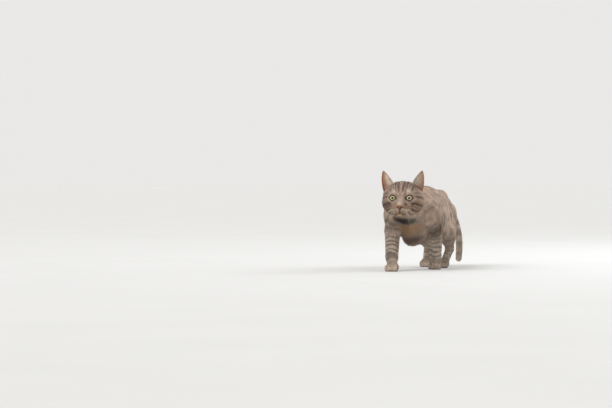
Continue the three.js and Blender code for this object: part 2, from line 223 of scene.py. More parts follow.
def addPaw(ankle, toes, halfWidth, thick, station):
    palm = vec(toes[0], toes[1] + 4, cornerShift[2] + 10)
    forward = unit(vec(0, -1, -0.25))
    down = unit(vec(0, -0.5, -1))
    cone(ankle, palm, thick, 12, blend=8, hair=4.2, depth=1.7, part="paw", lie=down, start=station)
    egg(palm, (halfWidth - 1, 15, 12), blend=7, hair=3.8, depth=1.5, part="paw", lie=forward)
    for place in (-1, -0.36, 0.36, 1):
        toe = vec(toes[0] + place * (halfWidth - 6), toes[1] - 12.5 + 5 * abs(place), cornerShift[2] + 7.5)
        egg(toe, (5.8, 9.5, 9.5), blend=3, hair=3.0, depth=1.1, part="paw", lie=forward)
        toeTips.append(toe)


for leg, places in legPlaces.items():
    first, second, third, fourth, toes = [at(*place) for place in places]
    upper = {"part": "upperLeg", "hair": 10.5, "depth": 3.3}
    lower = {"part": "lowerLeg", "hair": 6.5, "depth": 2.2}
    if leg.startswith("fore"):  # blade, shoulder, elbow, wrist
        cone(first, second, 20, 29, blend=26, **upper, lie=unit(vec(0, 0.5, -1)))
        upper.update({"hair": 9.5, "depth": 3.0, "start": 50})
        cone(second, third, 28, 20, blend=16, **upper, lie=unit(vec(0, 0.45, -1)))
        cone(third, fourth, 20, 15.5, blend=8, **lower, start=112)
        addPaw(fourth, toes, 18, 14, 186)
    else:  # hip, knee, hock, ball of the foot
        hamstring = first + vec(-np.sign(places[0][0]) * 2, 26, -8)
        calf = second + 0.45 * (third - second)
        cone(first, second, 31, 23, blend=20, **upper, lie=unit(vec(0, 0.75, -1)))
        cone(hamstring, calf, 28, 15, blend=18, **upper, lie=unit(vec(0, 0.5, -1)))
        cone(second, third, 20, 11.5, blend=12, **lower | {"hair": 7.5, "depth": 2.5}, start=75)
        cone(third, fourth, 11.5, 11, blend=6, **lower | {"hair": 4.8, "depth": 1.7}, start=140)
        addPaw(fourth, toes, 16, 10, 195)

# ---------- tail: a smooth path through these points, thinning fast at first
tail = {"root": 17, "tip": 7.5, "lengths": 22, "thinning": 0.45}
tailPoints = [
    (0, 176, 186), (2, 208, 181), (10, 236, 161), (22, 248, 129), (33, 249, 95),
    (38, 248, 65), (37, 252, 39), (33, 265, 21), (28, 284, 18), (24, 301, 26),
]


def between(t, ta, a, tb, b):  # a at ta, b at tb, straight between
    return (tb - t) / (tb - ta) * a + (t - ta) / (tb - ta) * b


def smoothPath(points, count):  # centripetal Catmull-Rom, then spaced evenly
    points = np.array(points, dtype=float)
    ends = [2 * points[0] - points[1], *points, 2 * points[-1] - points[-2]]
    fine = []
    for i in range(1, len(ends) - 2):
        p0, p1, p2, p3 = ends[i - 1 : i + 3]
        t0 = 0
        t1 = t0 + np.linalg.norm(p1 - p0) ** 0.5
        t2 = t1 + np.linalg.norm(p2 - p1) ** 0.5
        t3 = t2 + np.linalg.norm(p3 - p2) ** 0.5
        for t in np.linspace(t1, t2, 24, endpoint=False):
            a1, a2, a3 = between(t, t0, p0, t1, p1), between(t, t1, p1, t2, p2), between(t, t2, p2, t3, p3)
            b1, b2 = between(t, t0, a1, t2, a2), between(t, t1, a2, t3, a3)
            fine.append(between(t, t1, b1, t2, b2))
    fine = np.array([*fine, points[-1]])
    run = np.concatenate([[0], np.cumsum(np.linalg.norm(np.diff(fine, axis=0), axis=1))])
    want = np.linspace(0, run[-1], count)
    return np.stack([np.interp(want, run, fine[:, k]) for k in range(3)], axis=1), run[-1]


tailPath, tailLong = smoothPath([at(*p) for p in tailPoints], tail["lengths"] + 1)
for i in range(tail["lengths"]):
    ends = [(j / tail["lengths"]) for j in (i, i + 1)]
    ra, rb = [tail["root"] + (tail["tip"] - tail["root"]) * e ** tail["thinning"] for e in ends]
    tailCoat = {"part": "tail", "hair": 11.5 - 3 * ends[0], "depth": 3.3 - 1.1 * ends[0]}
    cone(*tailPath[i : i + 2], ra, rb, blend=18 if i < 2 else 4, **tailCoat, start=ends[0] * tailLong)

# ---------- head masses
headEgg(0, -37, 5, (41, 42, 38), 8, hair=7.5, depth=2.8)  # skull
headEgg(0, -20, 17, (28, 25, 20), 10, hair=5, depth=2.0)  # forehead
for side in (1, -1):
    headEgg(side * 28.5, -30, -12, (24.5, 26, 27), 12, hair=9.5, depth=3.4)  # cheek
    headEgg(side * 32, -42, 8, (19, 20, 19), 12, hair=7.5, depth=2.8)  # temple
    headEgg(side * 19, -12, -28, (20, 24, 18), 10, hair=7.5, depth=2.9)  # jowl
    headEgg(side * 20, -8, 9, (14, 13, 11), 8, hair=3.6, depth=1.4)  # brow
    headEgg(side * 14, 5, -13, (10, 12, 10), 8, hair=3.0, depth=1.2)  # cheekbone, beside the nose
    headEgg(side * 18, -36, 30, (11, 14, 9), 8, hair=8.5, depth=3.2)  # fur at the ear's inner foot
    headEgg(side * 22, 15, 2, (11, 8, 9), 6, dent=True)  # orbit
    headEgg(side * 10.5, 16, -30, (12, 12, 11), 6, hair=2.7, depth=1.0)  # whisker pad
bridge = [onHead(0, -1, 5), onHead(0, 17, -18)]
cone(*bridge, 12.5, 9.5, blend=8, hair=2.2, depth=0.8, part="head")
headEgg(0, 22, -22, (8, 7, 6.5), 5, hair=1.8, depth=0.6)  # tip of the nose
headEgg(0, 14, -39.5, (13, 11.5, 9), 6, hair=3.4, depth=1.4)  # chin


def massDistance(mass, points):
    if "ab" in mass:
        away = points - mass["a"]
        t = np.clip(away @ mass["ab"] / mass["long"] ** 2, 0, 1)
        near = np.linalg.norm(away - t[:, None] * mass["ab"], axis=1)
        return near - (mass["ra"] + (mass["rb"] - mass["ra"]) * t), t
    away = ((points - mass["centre"]) @ mass["axes"]) / mass["radii"]
    near = np.linalg.norm(away, axis=1)
    steep = np.linalg.norm(away / mass["radii"], axis=1)
    return near * (near - 1) / np.maximum(steep, 1e-6), np.zeros(len(points))


def reachedBy(mass, points):
    return np.flatnonzero(((points - mass["middle"]) ** 2).sum(1) < mass["bound"] ** 2)


def distanceTo(points):  # how far outside the coat's tips each point is, negative inside
    depth = np.full(len(points), 60.0)
    for mass in masses:
        near = reachedBy(mass, points)
        if not len(near):
            continue
        d, _ = massDistance(mass, points[near])
        sign = -1 if mass.get("dent") else 1
        a = sign * depth[near]
        h = np.maximum(mass["blend"] - np.abs(a - d), 0) / mass["blend"]
        depth[near] = sign * (np.minimum(a, d) - h * h * mass["blend"] / 4)
    return depth


def slopeAt(points, d):
    step = 0.4
    return np.stack([(distanceTo(points + step * axis) - d) / step for axis in np.eye(3)], axis=1)


def settle(points, level, passes=2):
    for _ in range(passes):
        d = distanceTo(points)
        slope = slopeAt(points, d)
        points = points + slope * ((level - d) / np.maximum((slope**2).sum(1), 0.3))[:, None]
    return points


partNames = ("trunk", "neck", "head", "upperLeg", "lowerLeg", "paw", "tail")
noseSource = onHead(0, 24, -20)  # the coat of the head leads away from here


def survey(points):  # how the coat grows at each point, and what share each part of the body has in it
    count = len(points)
    nearest = np.full(count, 1e3)
    found = []
    for mass in masses:
        index = reachedBy(mass, points)
        if mass.get("dent") or not len(index):
            continue
        d, t = massDistance(mass, points[index])
        nearest[index] = np.minimum(nearest[index], d)
        found.append((mass, index, d, t))
    facts = {key: np.zeros(count) for key in ("hair", "depth", "station", "limb", "total")}
    facts["lie"] = np.zeros((count, 3))
    share = {part: np.zeros(count) for part in partNames}
    fromNose = unit(points - noseSource)
    for mass, index, d, t in found:
        w = np.exp(-(d - nearest[index]) / 4)
        lie = fromNose[index] if mass["part"] == "head" else mass["lie"]
        facts["lie"][index] += w[:, None] * lie
        facts["hair"][index] += w * mass["hair"]
        facts["depth"][index] += w * mass["depth"]
        facts["total"][index] += w
        share[mass["part"]][index] += w
        if mass["part"] in partNames[3:]:  # the limbs and the tail
            facts["station"][index] += w * (mass["start"] + t * mass["long"])
            facts["limb"][index] += w
    for key in ("hair", "depth"):
        facts[key] /= facts["total"]
    facts["station"] /= np.maximum(facts["limb"], 1e-9)
    for part in share:
        share[part] = share[part] / facts["total"]
    facts["share"] = share
    facts["lie"] = unit(facts["lie"])
    return facts


# ---------- small helpers for meshes
def pick(*pieces):
    bpy.ops.object.select_all(action="DESELECT")
    for piece in pieces:
        piece.select_set(True)
    bpy.context.view_layer.objects.active = pieces[0]


def read(data, key, width=1, kind=float):  # a mesh's values, one row for each item
    flat = np.empty(len(data) * width, dtype=kind)
    data.foreach_get(key, flat)
    return flat.reshape(-1, width) if width > 1 else flat


def corners(piece):
    return read(piece.data.vertices, "co", 3) / mm


def setCorners(piece, points):
    piece.data.vertices.foreach_set("co", (points * mm).ravel())
    piece.data.update()


def applyModifier(piece, kind, **settings):
    pick(piece)
    modifier = piece.modifiers.new(kind.lower(), kind)
    for key, value in settings.items():
        setattr(modifier, key, value)
    bpy.ops.object.modifier_apply(modifier=modifier.name)


def editWhole(piece, operator, **settings):  # one edit-mode operator over the whole piece
    pick(piece)
    bpy.ops.object.mode_set(mode="EDIT")
    bpy.ops.mesh.select_all(action="SELECT")
    operator(**settings)
    bpy.ops.object.mode_set(mode="OBJECT")


def faceOutwards(piece):
    editWhole(piece, bpy.ops.mesh.normals_make_consistent, inside=False)


def addBall(name, segments, rings):
    bpy.ops.mesh.primitive_uv_sphere_add(segments=segments, ring_count=rings, radius=1)
    ball = bpy.context.object
    ball.name = name
    return ball


def meshFrom(name, points, triangles):
    mesh = bpy.data.meshes.new(name)
    mesh.vertices.add(len(points))
    mesh.vertices.foreach_set("co", (np.asarray(points) * mm).ravel())
    mesh.loops.add(triangles.size)
    mesh.loops.foreach_set("vertex_index", triangles.astype(np.int32).ravel())
    mesh.polygons.add(len(triangles))
    mesh.polygons.foreach_set("loop_start", np.arange(0, triangles.size, 3, dtype=np.int32))
    mesh.polygons.foreach_set("use_smooth", np.ones(len(triangles), dtype=bool))
    mesh.update(calc_edges=True)
    piece = bpy.data.objects.new(name, mesh)
    scene.collection.objects.link(piece)
    return piece


# ---------- eyes: where they sit and how the lids part
eyes = {}
eyeball = {"radius": 10.4, "splay": 0.15, "segments": 48, "rings": 32, "bulge": 0.9, "inset": 0.5}
lid = {"rim": 0.9, "under": 2.6, "reach": 12, "nearBall": 4, "felt": 26}
lidAngles = np.radians([0, 30, 60, 90, 120, 150, 180, 206, 226, 250, 270, 300, 330, 360])
lidReach = [8.5, 7.9, 7.2, 6.8, 6.9, 7.5, 8.4, 9.9, 8.4, 7.1, 6.8, 6.9, 7.5, 8.5]
for side, node in ((1, "eye_left"), (-1, "eye_right")):
    gaze = unit(headAhead + side * eyeball["splay"] * headLeft)
    outward = unit(side * (headLeft - (headLeft @ gaze) * gaze))
    eyes[side] = {"centre": middleOf(node), "gaze": gaze, "outward": outward, "up": headUp}


def lidEdge(angle):
    fine = np.linspace(0, 2 * pi, 181)
    reach = np.interp(fine, lidAngles, lidReach)
    for _ in range(3):
        reach = (np.roll(reach[:-1], 1) + 2 * reach[:-1] + np.roll(reach[:-1], -1)) / 4
        reach = np.append(reach, reach[0])
    return np.interp(np.mod(angle, 2 * pi), fine, reach)


def eyeMap(eye, points):  # angle round the eye, and millimetres outside the lid's edge
    q = points - eye["centre"]
    ahead = q @ eye["gaze"]
    x = eyeball["radius"] * np.arctan2(q @ eye["outward"], ahead)
    y = eyeball["radius"] * np.arctan2(q @ eye["up"], ahead)
    angle = np.arctan2(y, x)
    radius = np.linalg.norm(q, axis=1)
    outside = np.maximum(np.hypot(x, y) - lidEdge(angle), radius - eyeball["radius"] - lid["nearBall"])
    return angle, np.where(radius < lid["felt"], outside, 30)


# ---------- skin: the fleshy solids made one, then drawn in by the coat's depth
fleshNodes = [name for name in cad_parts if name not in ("eye_left", "eye_right", "nose")]
earNodes = ["ear_left", "ear_right"]
skinMake = {"overlap": 0.6, "merge": 0.01, "voxel": 2.25, "soleAt": 0.5, "fold": 2.6, "foldWidth": 0.24}


def joinFlesh():
    copies = []
    for name in fleshNodes:
        if name in earNodes:
            continue
        piece = bpy.data.objects.new("skin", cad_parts[name].data.copy())
        scene.collection.objects.link(piece)
        copies.append(piece)
    pick(*copies)
    bpy.ops.object.join()
    skin = bpy.context.object
    editWhole(skin, bpy.ops.mesh.remove_doubles, threshold=skinMake["merge"] * mm)
    applyModifier(skin, "DISPLACE", strength=skinMake["overlap"] * mm, mid_level=0)
    applyModifier(skin, "REMESH", mode="VOXEL", voxel_size=skinMake["voxel"] * mm)
    skin.name = skin.data.name = "skin"
    return skin


def drawIn(skin, rounds):  # even out the net and put it back at the coat's depth
    for _ in range(rounds):
        applyModifier(skin, "SMOOTH", factor=0.5, iterations=4)
        points = corners(skin)
        points = settle(points, -survey(points)["depth"], 2)
        points[:, 2] = np.maximum(points[:, 2], skinMake["soleAt"])
        setCorners(skin, points)


def refine(skin, wanted):  # splits the faces whose middles pass the test
    chosen = wanted(read(skin.data.polygons, "center", 3) / mm)
    pick(skin)
    bpy.ops.object.mode_set(mode="EDIT")
    bpy.ops.mesh.select_all(action="DESELECT")
    bpy.ops.object.mode_set(mode="OBJECT")
    skin.data.polygons.foreach_set("select", chosen)
    bpy.ops.object.mode_set(mode="EDIT")
    bpy.ops.mesh.subdivide(number_cuts=1)
    bpy.ops.object.mode_set(mode="OBJECT")


def nearFace(points):
    x, ahead, up = toHead(points).T
    return (ahead > -14) & (np.abs(x) < 34) & (up > -50) & (up < 20)


def nearEyes(points):
    x, ahead, up = toHead(points).T
    return (ahead > 0) & (np.abs(x) < 33) & (np.abs(up) < 12) & (np.abs(x) > 8)


mouthLine = [(0, -29), (0, -37.2), (5, -39.6), (11, -40.2), (17, -37.5), (21, -33)]  # across and up
mouth = {"groove": 1.3, "width": 1.1, "dimple": 0.25, "dimpleSpread": 0.9}


def lineGap(x, y, line):  # distance in a plane to a broken line
    gap = np.full(len(x), 1e3)
    for (ax, ay), (bx, by) in zip(line, line[1:]):
        dx, dy = bx - ax, by - ay
        t = np.clip(((x - ax) * dx + (y - ay) * dy) / (dx * dx + dy * dy), 0, 1)
        gap = np.minimum(gap, np.hypot(x - ax - t * dx, y - ay - t * dy))
    return gap


def shapeFace(skin):
    points = corners(skin)
    index = np.flatnonzero(nearFace(points))
    p = points[index]
    x, ahead, up = toHead(p).T
    normal = unit(slopeAt(p, distanceTo(p)))
    groove = lineGap(np.abs(x), up, mouthLine)
    push = -mouth["groove"] * hump(groove, mouth["width"]) * ease(ahead, 6, 12)
    for row in range(3):  # rows of whisker roots dimple the pads
        for k in range(4):
            across, height = 8.5 + 3.4 * k, -25.5 - 3.6 * row - 0.5 * k
            away = (np.abs(x) - across) ** 2 + (up - height) ** 2
            push -= mouth["dimple"] * np.exp(-(away / mouth["dimpleSpread"])) * ease(ahead, 8, 14)
    p = p + push[:, None] * normal
    rim = eyeball["radius"] + lid["rim"]
    for eye in eyes.values():
        q = p - eye["centre"]
        radius = np.linalg.norm(q, axis=1)
        _, outside = eyeMap(eye, p)
        under = eyeball["radius"] - lid["under"] + 3.5 * ease(outside, -0.4, 0.9)
        edge = np.where(outside < 0.9, under, rim)
        pulled = 1 - ease(outside, 0.8, 4.2)  # to the lid's rim near the opening
        wanted = edge * pulled + np.maximum(radius, rim + 0.35 * np.clip(outside, 0, 4)) * (1 - pulled)
        touched = (outside < lid["reach"]) & (q @ eye["gaze"] > 0)
        p = np.where(touched[:, None], eye["centre"] + q * (wanted / radius)[:, None], p)
    points[index] = p
    setCorners(skin, points)


def foldSkin(skin):  # shallow folds where shoulder and thigh meet the trunk
    points = corners(skin)
    share = survey(points)["share"]
    body = share["upperLeg"] + share["trunk"] + share["neck"]
    limb = share["upperLeg"] / np.maximum(body, 1e-6)
    fold = hump(limb - 0.5, skinMake["foldWidth"]) * ease(-points[:, 2], -212, -185) * ease(body, 0.6, 0.95)
    index = np.flatnonzero(fold > 0.02)
    p = points[index]
    points[index] = p - (skinMake["fold"] * fold[index])[:, None] * unit(slopeAt(p, distanceTo(p)))
    setCorners(skin, points)


skin = joinFlesh()
drawIn(skin, 2)
refine(skin, nearFace)
drawIn(skin, 1)
refine(skin, nearEyes)
drawIn(skin, 1)
shapeFace(skin)
foldSkin(skin)
print("skin", len(skin.data.polygons), "faces")


# ---------- ears: a grid bent to a cupped leaf with a wall, its hollow ahead and outward
ear = {
    "foot": (28.5, -42, 14), "tip": (47.5, -38, 67.4), "halfWidth": 18.0, "cup": 22.4, "opensOut": 0.46,
    "columns": 26, "rows": 34, "wall": 2.3, "sink": 0.14,
}
earFoot, earRise = vec(*ear["foot"]), vec(*ear["tip"]) - vec(*ear["foot"])
earAhead = vec(sin(ear["opensOut"]), cos(ear["opensOut"]), 0.1)
earAcross = unit(np.cross(earAhead, earRise))


def mirrored(side, p):  # from the left half of the head to the side asked for
    return fromHead(p * np.stack([side, np.ones_like(side), np.ones_like(side)], axis=-1))


def leafPoint(a, t):  # a: -1 at the inner edge, 1 at the outer one; t: 0 at the foot, 1 at the tip
    taper = (1 - 0.985 * np.clip(t, 0, 1) ** 1.7) ** 0.8
    bend = a * pi / 2
    across = np.sin(bend) * ear["halfWidth"] * taper * (1 - 0.07 * np.abs(a) ** 6) + a * 0.4
    ahead = (0.45 - np.cos(bend)) * ear["cup"] * taper + 4 * t + 0.4
    return earFoot + t[:, None] * earRise + across[:, None] * earAcross + ahead[:, None] * earAhead


def leafInward(a, t):  # square to the leaf, into its hollow
    step = 0.01
    alongA = leafPoint(a + step, t) - leafPoint(a - step, t)
    alongT = leafPoint(a, t + step) - leafPoint(a, t - step)
    normal = unit(np.cross(alongA, alongT))
    middle = earFoot + t[:, None] * earRise + 4 * earAhead
    return normal * np.sign((normal * (middle - leafPoint(a, t))).sum(1))[:, None]


def addEar(side):
    bpy.ops.mesh.primitive_grid_add(x_subdivisions=ear["columns"], y_subdivisions=ear["rows"], size=2)
    leaf = bpy.context.object
    leaf.name = "earSkin"
    flat = corners(leaf) * mm
    a, t = flat[:, 0], (flat[:, 1] + 1) / 2 * (1 + ear["sink"]) - ear["sink"]
    applyModifier(leaf, "SOLIDIFY", thickness=0.1)
    flat = corners(leaf) * mm
    half = len(a)  # the first half of the corners is the back of the leaf, the second its hollow side
    back = leafPoint(a, np.minimum(t, 0.995))
    wall = ear["wall"] * (1 - 0.5 * np.clip(t, 0, 1)) * (0.35 + 0.65 * np.cos(a * 1.35))
    hollow = back + wall[:, None] * leafInward(a, np.minimum(t, 0.98))
    setCorners(leaf, mirrored(np.full(2 * half, float(side)), np.concatenate([back, hollow])))
    facts = {"earAcross": np.tile(a, 2), "earUp": np.tile(t, 2), "earHollow": np.repeat([0.0, 1.0], half)}
    for name, values in facts.items():
        leaf.data.attributes.new(name, "FLOAT", "POINT").data.foreach_set("value", values.astype(np.float32))
    faceOutwards(leaf)
    return leaf


earLeaves = [addEar(1), addEar(-1)]


# ---------- dark rims of the lids: a thin ring that lies on the eyeball
rimRing = {"around": 72, "through": 10, "thin": 0.1, "above": 0.25, "high": 0.75, "corner": radians(206)}


def addLidRim(side):
    eye = eyes[side]
    counts = {"major_segments": rimRing["around"], "minor_segments": rimRing["through"]}
    bpy.ops.mesh.primitive_torus_add(**counts, major_radius=1, minor_radius=rimRing["thin"])
    rim = bpy.context.object
    rim.name = "lidRim"
    flat = corners(rim) * mm
    angle = np.arctan2(flat[:, 1], flat[:, 0])
    outer = (np.hypot(flat[:, 0], flat[:, 1]) - 1) / rimRing["thin"]  # -1 to 1 across the ring
    high = flat[:, 2] / rimRing["thin"]
    upper = ease(np.sin(angle), -0.2, 0.8)
    half = 0.72 + 0.85 * upper + 0.25 * hump(np.mod(angle, 2 * pi) - rimRing["corner"], 0.3)
    reach = (lidEdge(angle) + outer * half) / eyeball["radius"]
    radius = eyeball["radius"] + rimRing["above"] + high * rimRing["high"]
    x, y = reach * np.cos(angle), reach * np.sin(angle)
    aside = x[:, None] * eye["outward"] + y[:, None] * eye["up"]
    p = unit(np.cos(reach)[:, None] * eye["gaze"] + np.sinc(reach / pi)[:, None] * aside)
    setCorners(rim, eye["centre"] + radius[:, None] * p)
    faceOutwards(rim)
    return rim


lidRims = [addLidRim(1), addLidRim(-1)]
earsFrom = len(skin.data.vertices)
rimsFrom = earsFrom + sum(len(leaf.data.vertices) for leaf in earLeaves)
pick(skin, *earLeaves, *lidRims)
bpy.ops.object.join()
order = np.arange(len(skin.data.vertices))
isEar = (order >= earsFrom) & (order < rimsFrom)
isRim = order >= rimsFrom
skin.data.polygons.foreach_set("use_smooth", np.ones(len(skin.data.polygons), dtype=bool))
editWhole(skin, bpy.ops.uv.smart_project, angle_limit=radians(66), island_margin=0.002)
skin.data.uv_layers[0].name = "skinUnwrap"
print("skin joined and unwrapped")


# ---------- markings: grey mackerel tabby, with painted shade and a painted highlight laid on as colour
# some of these colours carry painted shade: the dark brown below the belly, on the low chest and behind the
# elbows, the near-black under the chin and in the ear's notch, and the dark of the ear's hollow foot
tabby = {name: linear(*colour) for name, colour in {
    "ground": (212, 190, 173), "stripe": (84, 66, 55), "pale": (232, 217, 203), "cream": (236, 224, 206),
    "buff": (192, 152, 108), "blackBandAndShade": (24, 16, 9), "under": (92, 72, 52), "brow": (192, 168, 153),
    "cheek": (166, 139, 118), "whiskerPad": (156, 138, 121), "lips": (56, 40, 36), "chin": (226, 203, 160),
    "bridge": (216, 204, 196), "lidRim": (34, 27, 24), "sole": (96, 76, 70), "fringe": (252, 246, 232),
    "earInside": (226, 196, 178), "earEdge": (190, 146, 126), "earFootShade": (120, 84, 72),
    "earRim": (176, 104, 62),
}.items()}
pattern = {"bars": 19, "collar": 24, "upperRings": 19, "rings": 12.5, "tailRings": 27, "skinShade": 0.9}
waveSeeds = np.random.default_rng(5)
waves = []
for _ in range(60):
    heading = unit(waveSeeds.normal(size=3)) * waveSeeds.uniform(0.6, 1.5)
    waves.append((heading, waveSeeds.uniform(0, 2 * pi)))


def wander(points, size, choice):  # smooth noise from -1 to 1, ten choices of it
    chosen = waves[choice * 6 : choice * 6 + 6]
    return sum(np.sin(points @ w * (2 * pi / size) + p) for w, p in chosen) / 3.2


def beats(run, spacing, low, high):  # bands at an even spacing, between low and high of a sine
    return ease(np.sin(run * 2 * pi / spacing), low, high)


headLines = [  # on the left half of the head, mirrored: points, width, strength
    ([(3.6, 4, 12), (4.6, -10, 27), (5.4, -36, 39)], 1.7, 0.95),
    ([(11, 3, 13.5), (12.5, -8, 26), (13.5, -34, 38)], 1.8, 0.95),
    ([(24, -3, 14), (25, -18, 24), (22, -40, 35)], 2.3, 0.85),
    ([(0, -20, 36), (0, -62, 42)], 2.0, 0.8),
    ([(8, 0, 22), (9, -20, 34)], 1.2, 0.8),
    ([(18, -2, 19), (19, -18, 29)], 1.3, 0.7),
    ([(9.5, 6, 6), (12, 4, 11)], 1.8, 0.7),
    ([(29, 4, 1), (38, -10, 0), (48, -34, -5), (50, -62, -12)], 3.0, 1.0),
    ([(32, -6, 10), (42, -24, 8), (47, -44, 4)], 2.0, 0.6),
    ([(21, 12, -11), (30, 0, -15), (44, -22, -20), (50, -48, -22)], 3.0, 1.0),
    ([(24, 8, -20), (34, -6, -25), (46, -30, -28)], 2.0, 0.75),
    ([(23, 4, -28), (36, -12, -33), (46, -38, -34)], 2.8, 0.95),
    ([(16, 10, -36), (30, -8, -42), (38, -34, -44)], 2.6, 0.8),
    ([(9, 15, -2), (9.5, 19, -10), (11, 22, -18)], 1.5, 0.7),
    ([(9, 27, -29), (19, 18, -28)], 0.8, 0.55),
    ([(8, 27, -33), (19, 17, -33)], 0.8, 0.55),
]
headPatches = [  # middle, radius, colour, strength
    ((17.5, 2, 14.5), 4.4, "pale", 1.0),
    ((6.6, 8, 8.5), 2.8, "pale", 0.6),
    ((21, 12, -10.5), 3.6, "pale", 0.6),
    ((0, 18, -4), 4.5, "bridge", 0.65),
    ((0, 24, -12), 6.2, "bridge", 0.95),
    ((14, 24, -31), 7.0, "whiskerPad", 0.6),
    ((6, 28, -28.5), 3.0, "cream", 1.0),
    ((2, 30, -32), 2.6, "cream", 0.9),
    ((0, 24, -43), 7.0, "chin", 0.7),
]


def laidOnHead(line):  # the line's points, more of them, brought to the surface
    line = np.array(line, dtype=float)
    steps = np.linspace(0, len(line) - 1, 5 * len(line))
    dense = np.stack([np.interp(steps, np.arange(len(line)), line[:, k]) for k in range(3)], axis=1)
    return toHead(settle(fromHead(dense), -2.5, 6))


def fromLine(points, line):
    gap = np.full(len(points), 1e3)
    for a, b in zip(line, line[1:]):
        t = np.clip((points - a) @ (b - a) / ((b - a) @ (b - a) + 1e-9), 0, 1)
        gap = np.minimum(gap, np.linalg.norm(points - a - t[:, None] * (b - a), axis=1))
    return gap


headLines = [(laidOnHead(line), width, strength) for line, width, strength in headLines]
headPatches = [(laidOnHead([middle, middle])[0], *rest) for middle, *rest in headPatches]


def mix(colour, towards, share):
    return colour + (towards - colour) * np.clip(share, 0, 1)[:, None]


def layered(colour, *layers):  # colours of the tabby laid on, each by its share
    for name, share in layers:
        colour = mix(colour, tabby[name], share)
    return colour


def plain(colour, count):
    return np.repeat(colour[None], count, axis=0)


def paintBody(points, facts):  # ground, warm and shaded places of trunk, neck and legs
    share = facts["share"]
    x, y, z = (points - cornerShift).T
    h = toHead(points)
    face = ease(share["head"], 0.15, 0.75)
    core = share["trunk"] + share["neck"]
    pale = 0.95 * share["lowerLeg"] + 0.6 * share["paw"] + 0.8 * share["tail"]
    colour = plain(tabby["ground"], len(points))
    colour = layered(colour, ("brow", face), ("cheek", face * ease(-h[:, 2], 0, 14)), ("pale", pale))
    mottle = 1 + 0.13 * wander(points, 46, 0) + 0.1 * wander(points, 17, 1) + 0.1 * wander(points, 9, 2)
    colour = colour * mottle[:, None]
    # warm chest; painted shade in dark brown under the belly, on the low chest and behind the elbows; a
    # painted highlight on the haunch; pale ruff behind the cheeks
    chest = ease(-(y + 98), 0, 40) * ease(134 - z, 0, 16) * core
    chest = 0.85 * chest * ease(46 - np.abs(x), 0, 16)
    # painted shade: the underside of the belly darkened
    under = ease(-(z - 84), 0, 26) * share["trunk"]
    # painted shade behind the elbows, where the foreleg meets the flank
    armpitShade = hump(y + 26, 58, 4) * ease(-(z - 106), -44, 0)
    armpitShade = armpitShade * (share["trunk"] + ease(y, -92, -74) * share["upperLeg"])
    # painted shade on the low chest between the forelegs
    brisketShade = 0.8 * ease(-(z - 108), 0, 24) * ease(-y, 70, 100) * core
    shaded = np.maximum(0.75 * under * ease(y, -120, -80), 0.92 * armpitShade * ease(np.abs(x), 26, 44))
    # painted highlight: the side of the thigh lightened to show the haunch's bulge
    haunchHighlight = hump(y - 66, 26) * ease(np.abs(x), 34, 48) * ease(z, 70, 96)
    haunchHighlight = 0.4 * haunchHighlight * (share["trunk"] + share["upperLeg"])
    ruff = hump(y + 172 + 0.35 * (160 - z), 8) * ease(np.abs(x), 24, 34) * share["neck"]
    # bars round the trunk, broken to spots, and the dark line of the back
    bend = y + 0.3 * (z - 150) + 8 * wander(points, 90, 2)
    bars = ease(np.sin(bend * 2 * pi / pattern["bars"]) + 0.4 * wander(points, 26, 3), 0.1, 0.8)
    broken = ease(wander(points, 24, 4), -0.5, 0.3)
    fade = ease(z, 62, 96) * ease(y, -122, -88)
    spine = hump(x, 6 + 2 * wander(points, 60, 5)) * ease(z, 170, 196) * core
    collar = beats(z + 0.6 * y + 6 * wander(points, 60, 6), pattern["collar"], 0.2, 0.85) * share["neck"]
    # rings of the legs and tail
    station = facts["station"]
    upperRings = beats(station + 4 * wander(points, 40, 6), pattern["upperRings"], 0.1, 0.8)
    rings = beats(station + 2.2 * wander(points, 26, 8), pattern["rings"], 0.15, 0.8)
    tailRings = beats(station + 3 * wander(points, 30, 6), pattern["tailRings"], -0.05, 0.6)
    normal = facts["normal"]
    front = 0.55 + 0.45 * ease(-normal[:, 1] + 0.7 * np.abs(normal[:, 0]), -0.2, 0.5)
    tipDark = 0.9 * ease(station, tailLong - 34, tailLong - 22)
    dark = np.maximum.reduce([
        0.72 * bars * broken * fade * (share["trunk"] + 0.8 * share["upperLeg"]),
        0.6 * spine,
        0.2 * collar * ease(wander(points, 40, 7), -0.6, 0.2),
        0.5 * upperRings * share["upperLeg"] * ease(station, 30, 55),
        0.68 * rings * front * (share["lowerLeg"] + 0.45 * share["paw"]),
        share["tail"] * np.maximum(0.3 * tailRings, tipDark),
    ])
    # band under the chin: partly a dark necklace stripe, partly painted shadow under the chin
    band = hump(z - 133 + 0.08 * (x + 12), 10, 4) * ease(-(y + 138), 0, 20)
    band = band * np.maximum(share["neck"], 1 - ease(share["head"], 0.3, 0.9))
    band = 0.96 * band * ease(46 - np.abs(x), 0, 12)
    # the dark brown laid on below is painted shade, the pale on the haunch a painted highlight, and the
    # near-black band under the chin partly painted shadow
    return layered(
        colour, ("buff", chest), ("under", np.maximum(shaded, brisketShade)), ("pale", haunchHighlight),
        ("pale", 0.5 * ruff), ("stripe", dark), ("blackBandAndShade", band),
    )


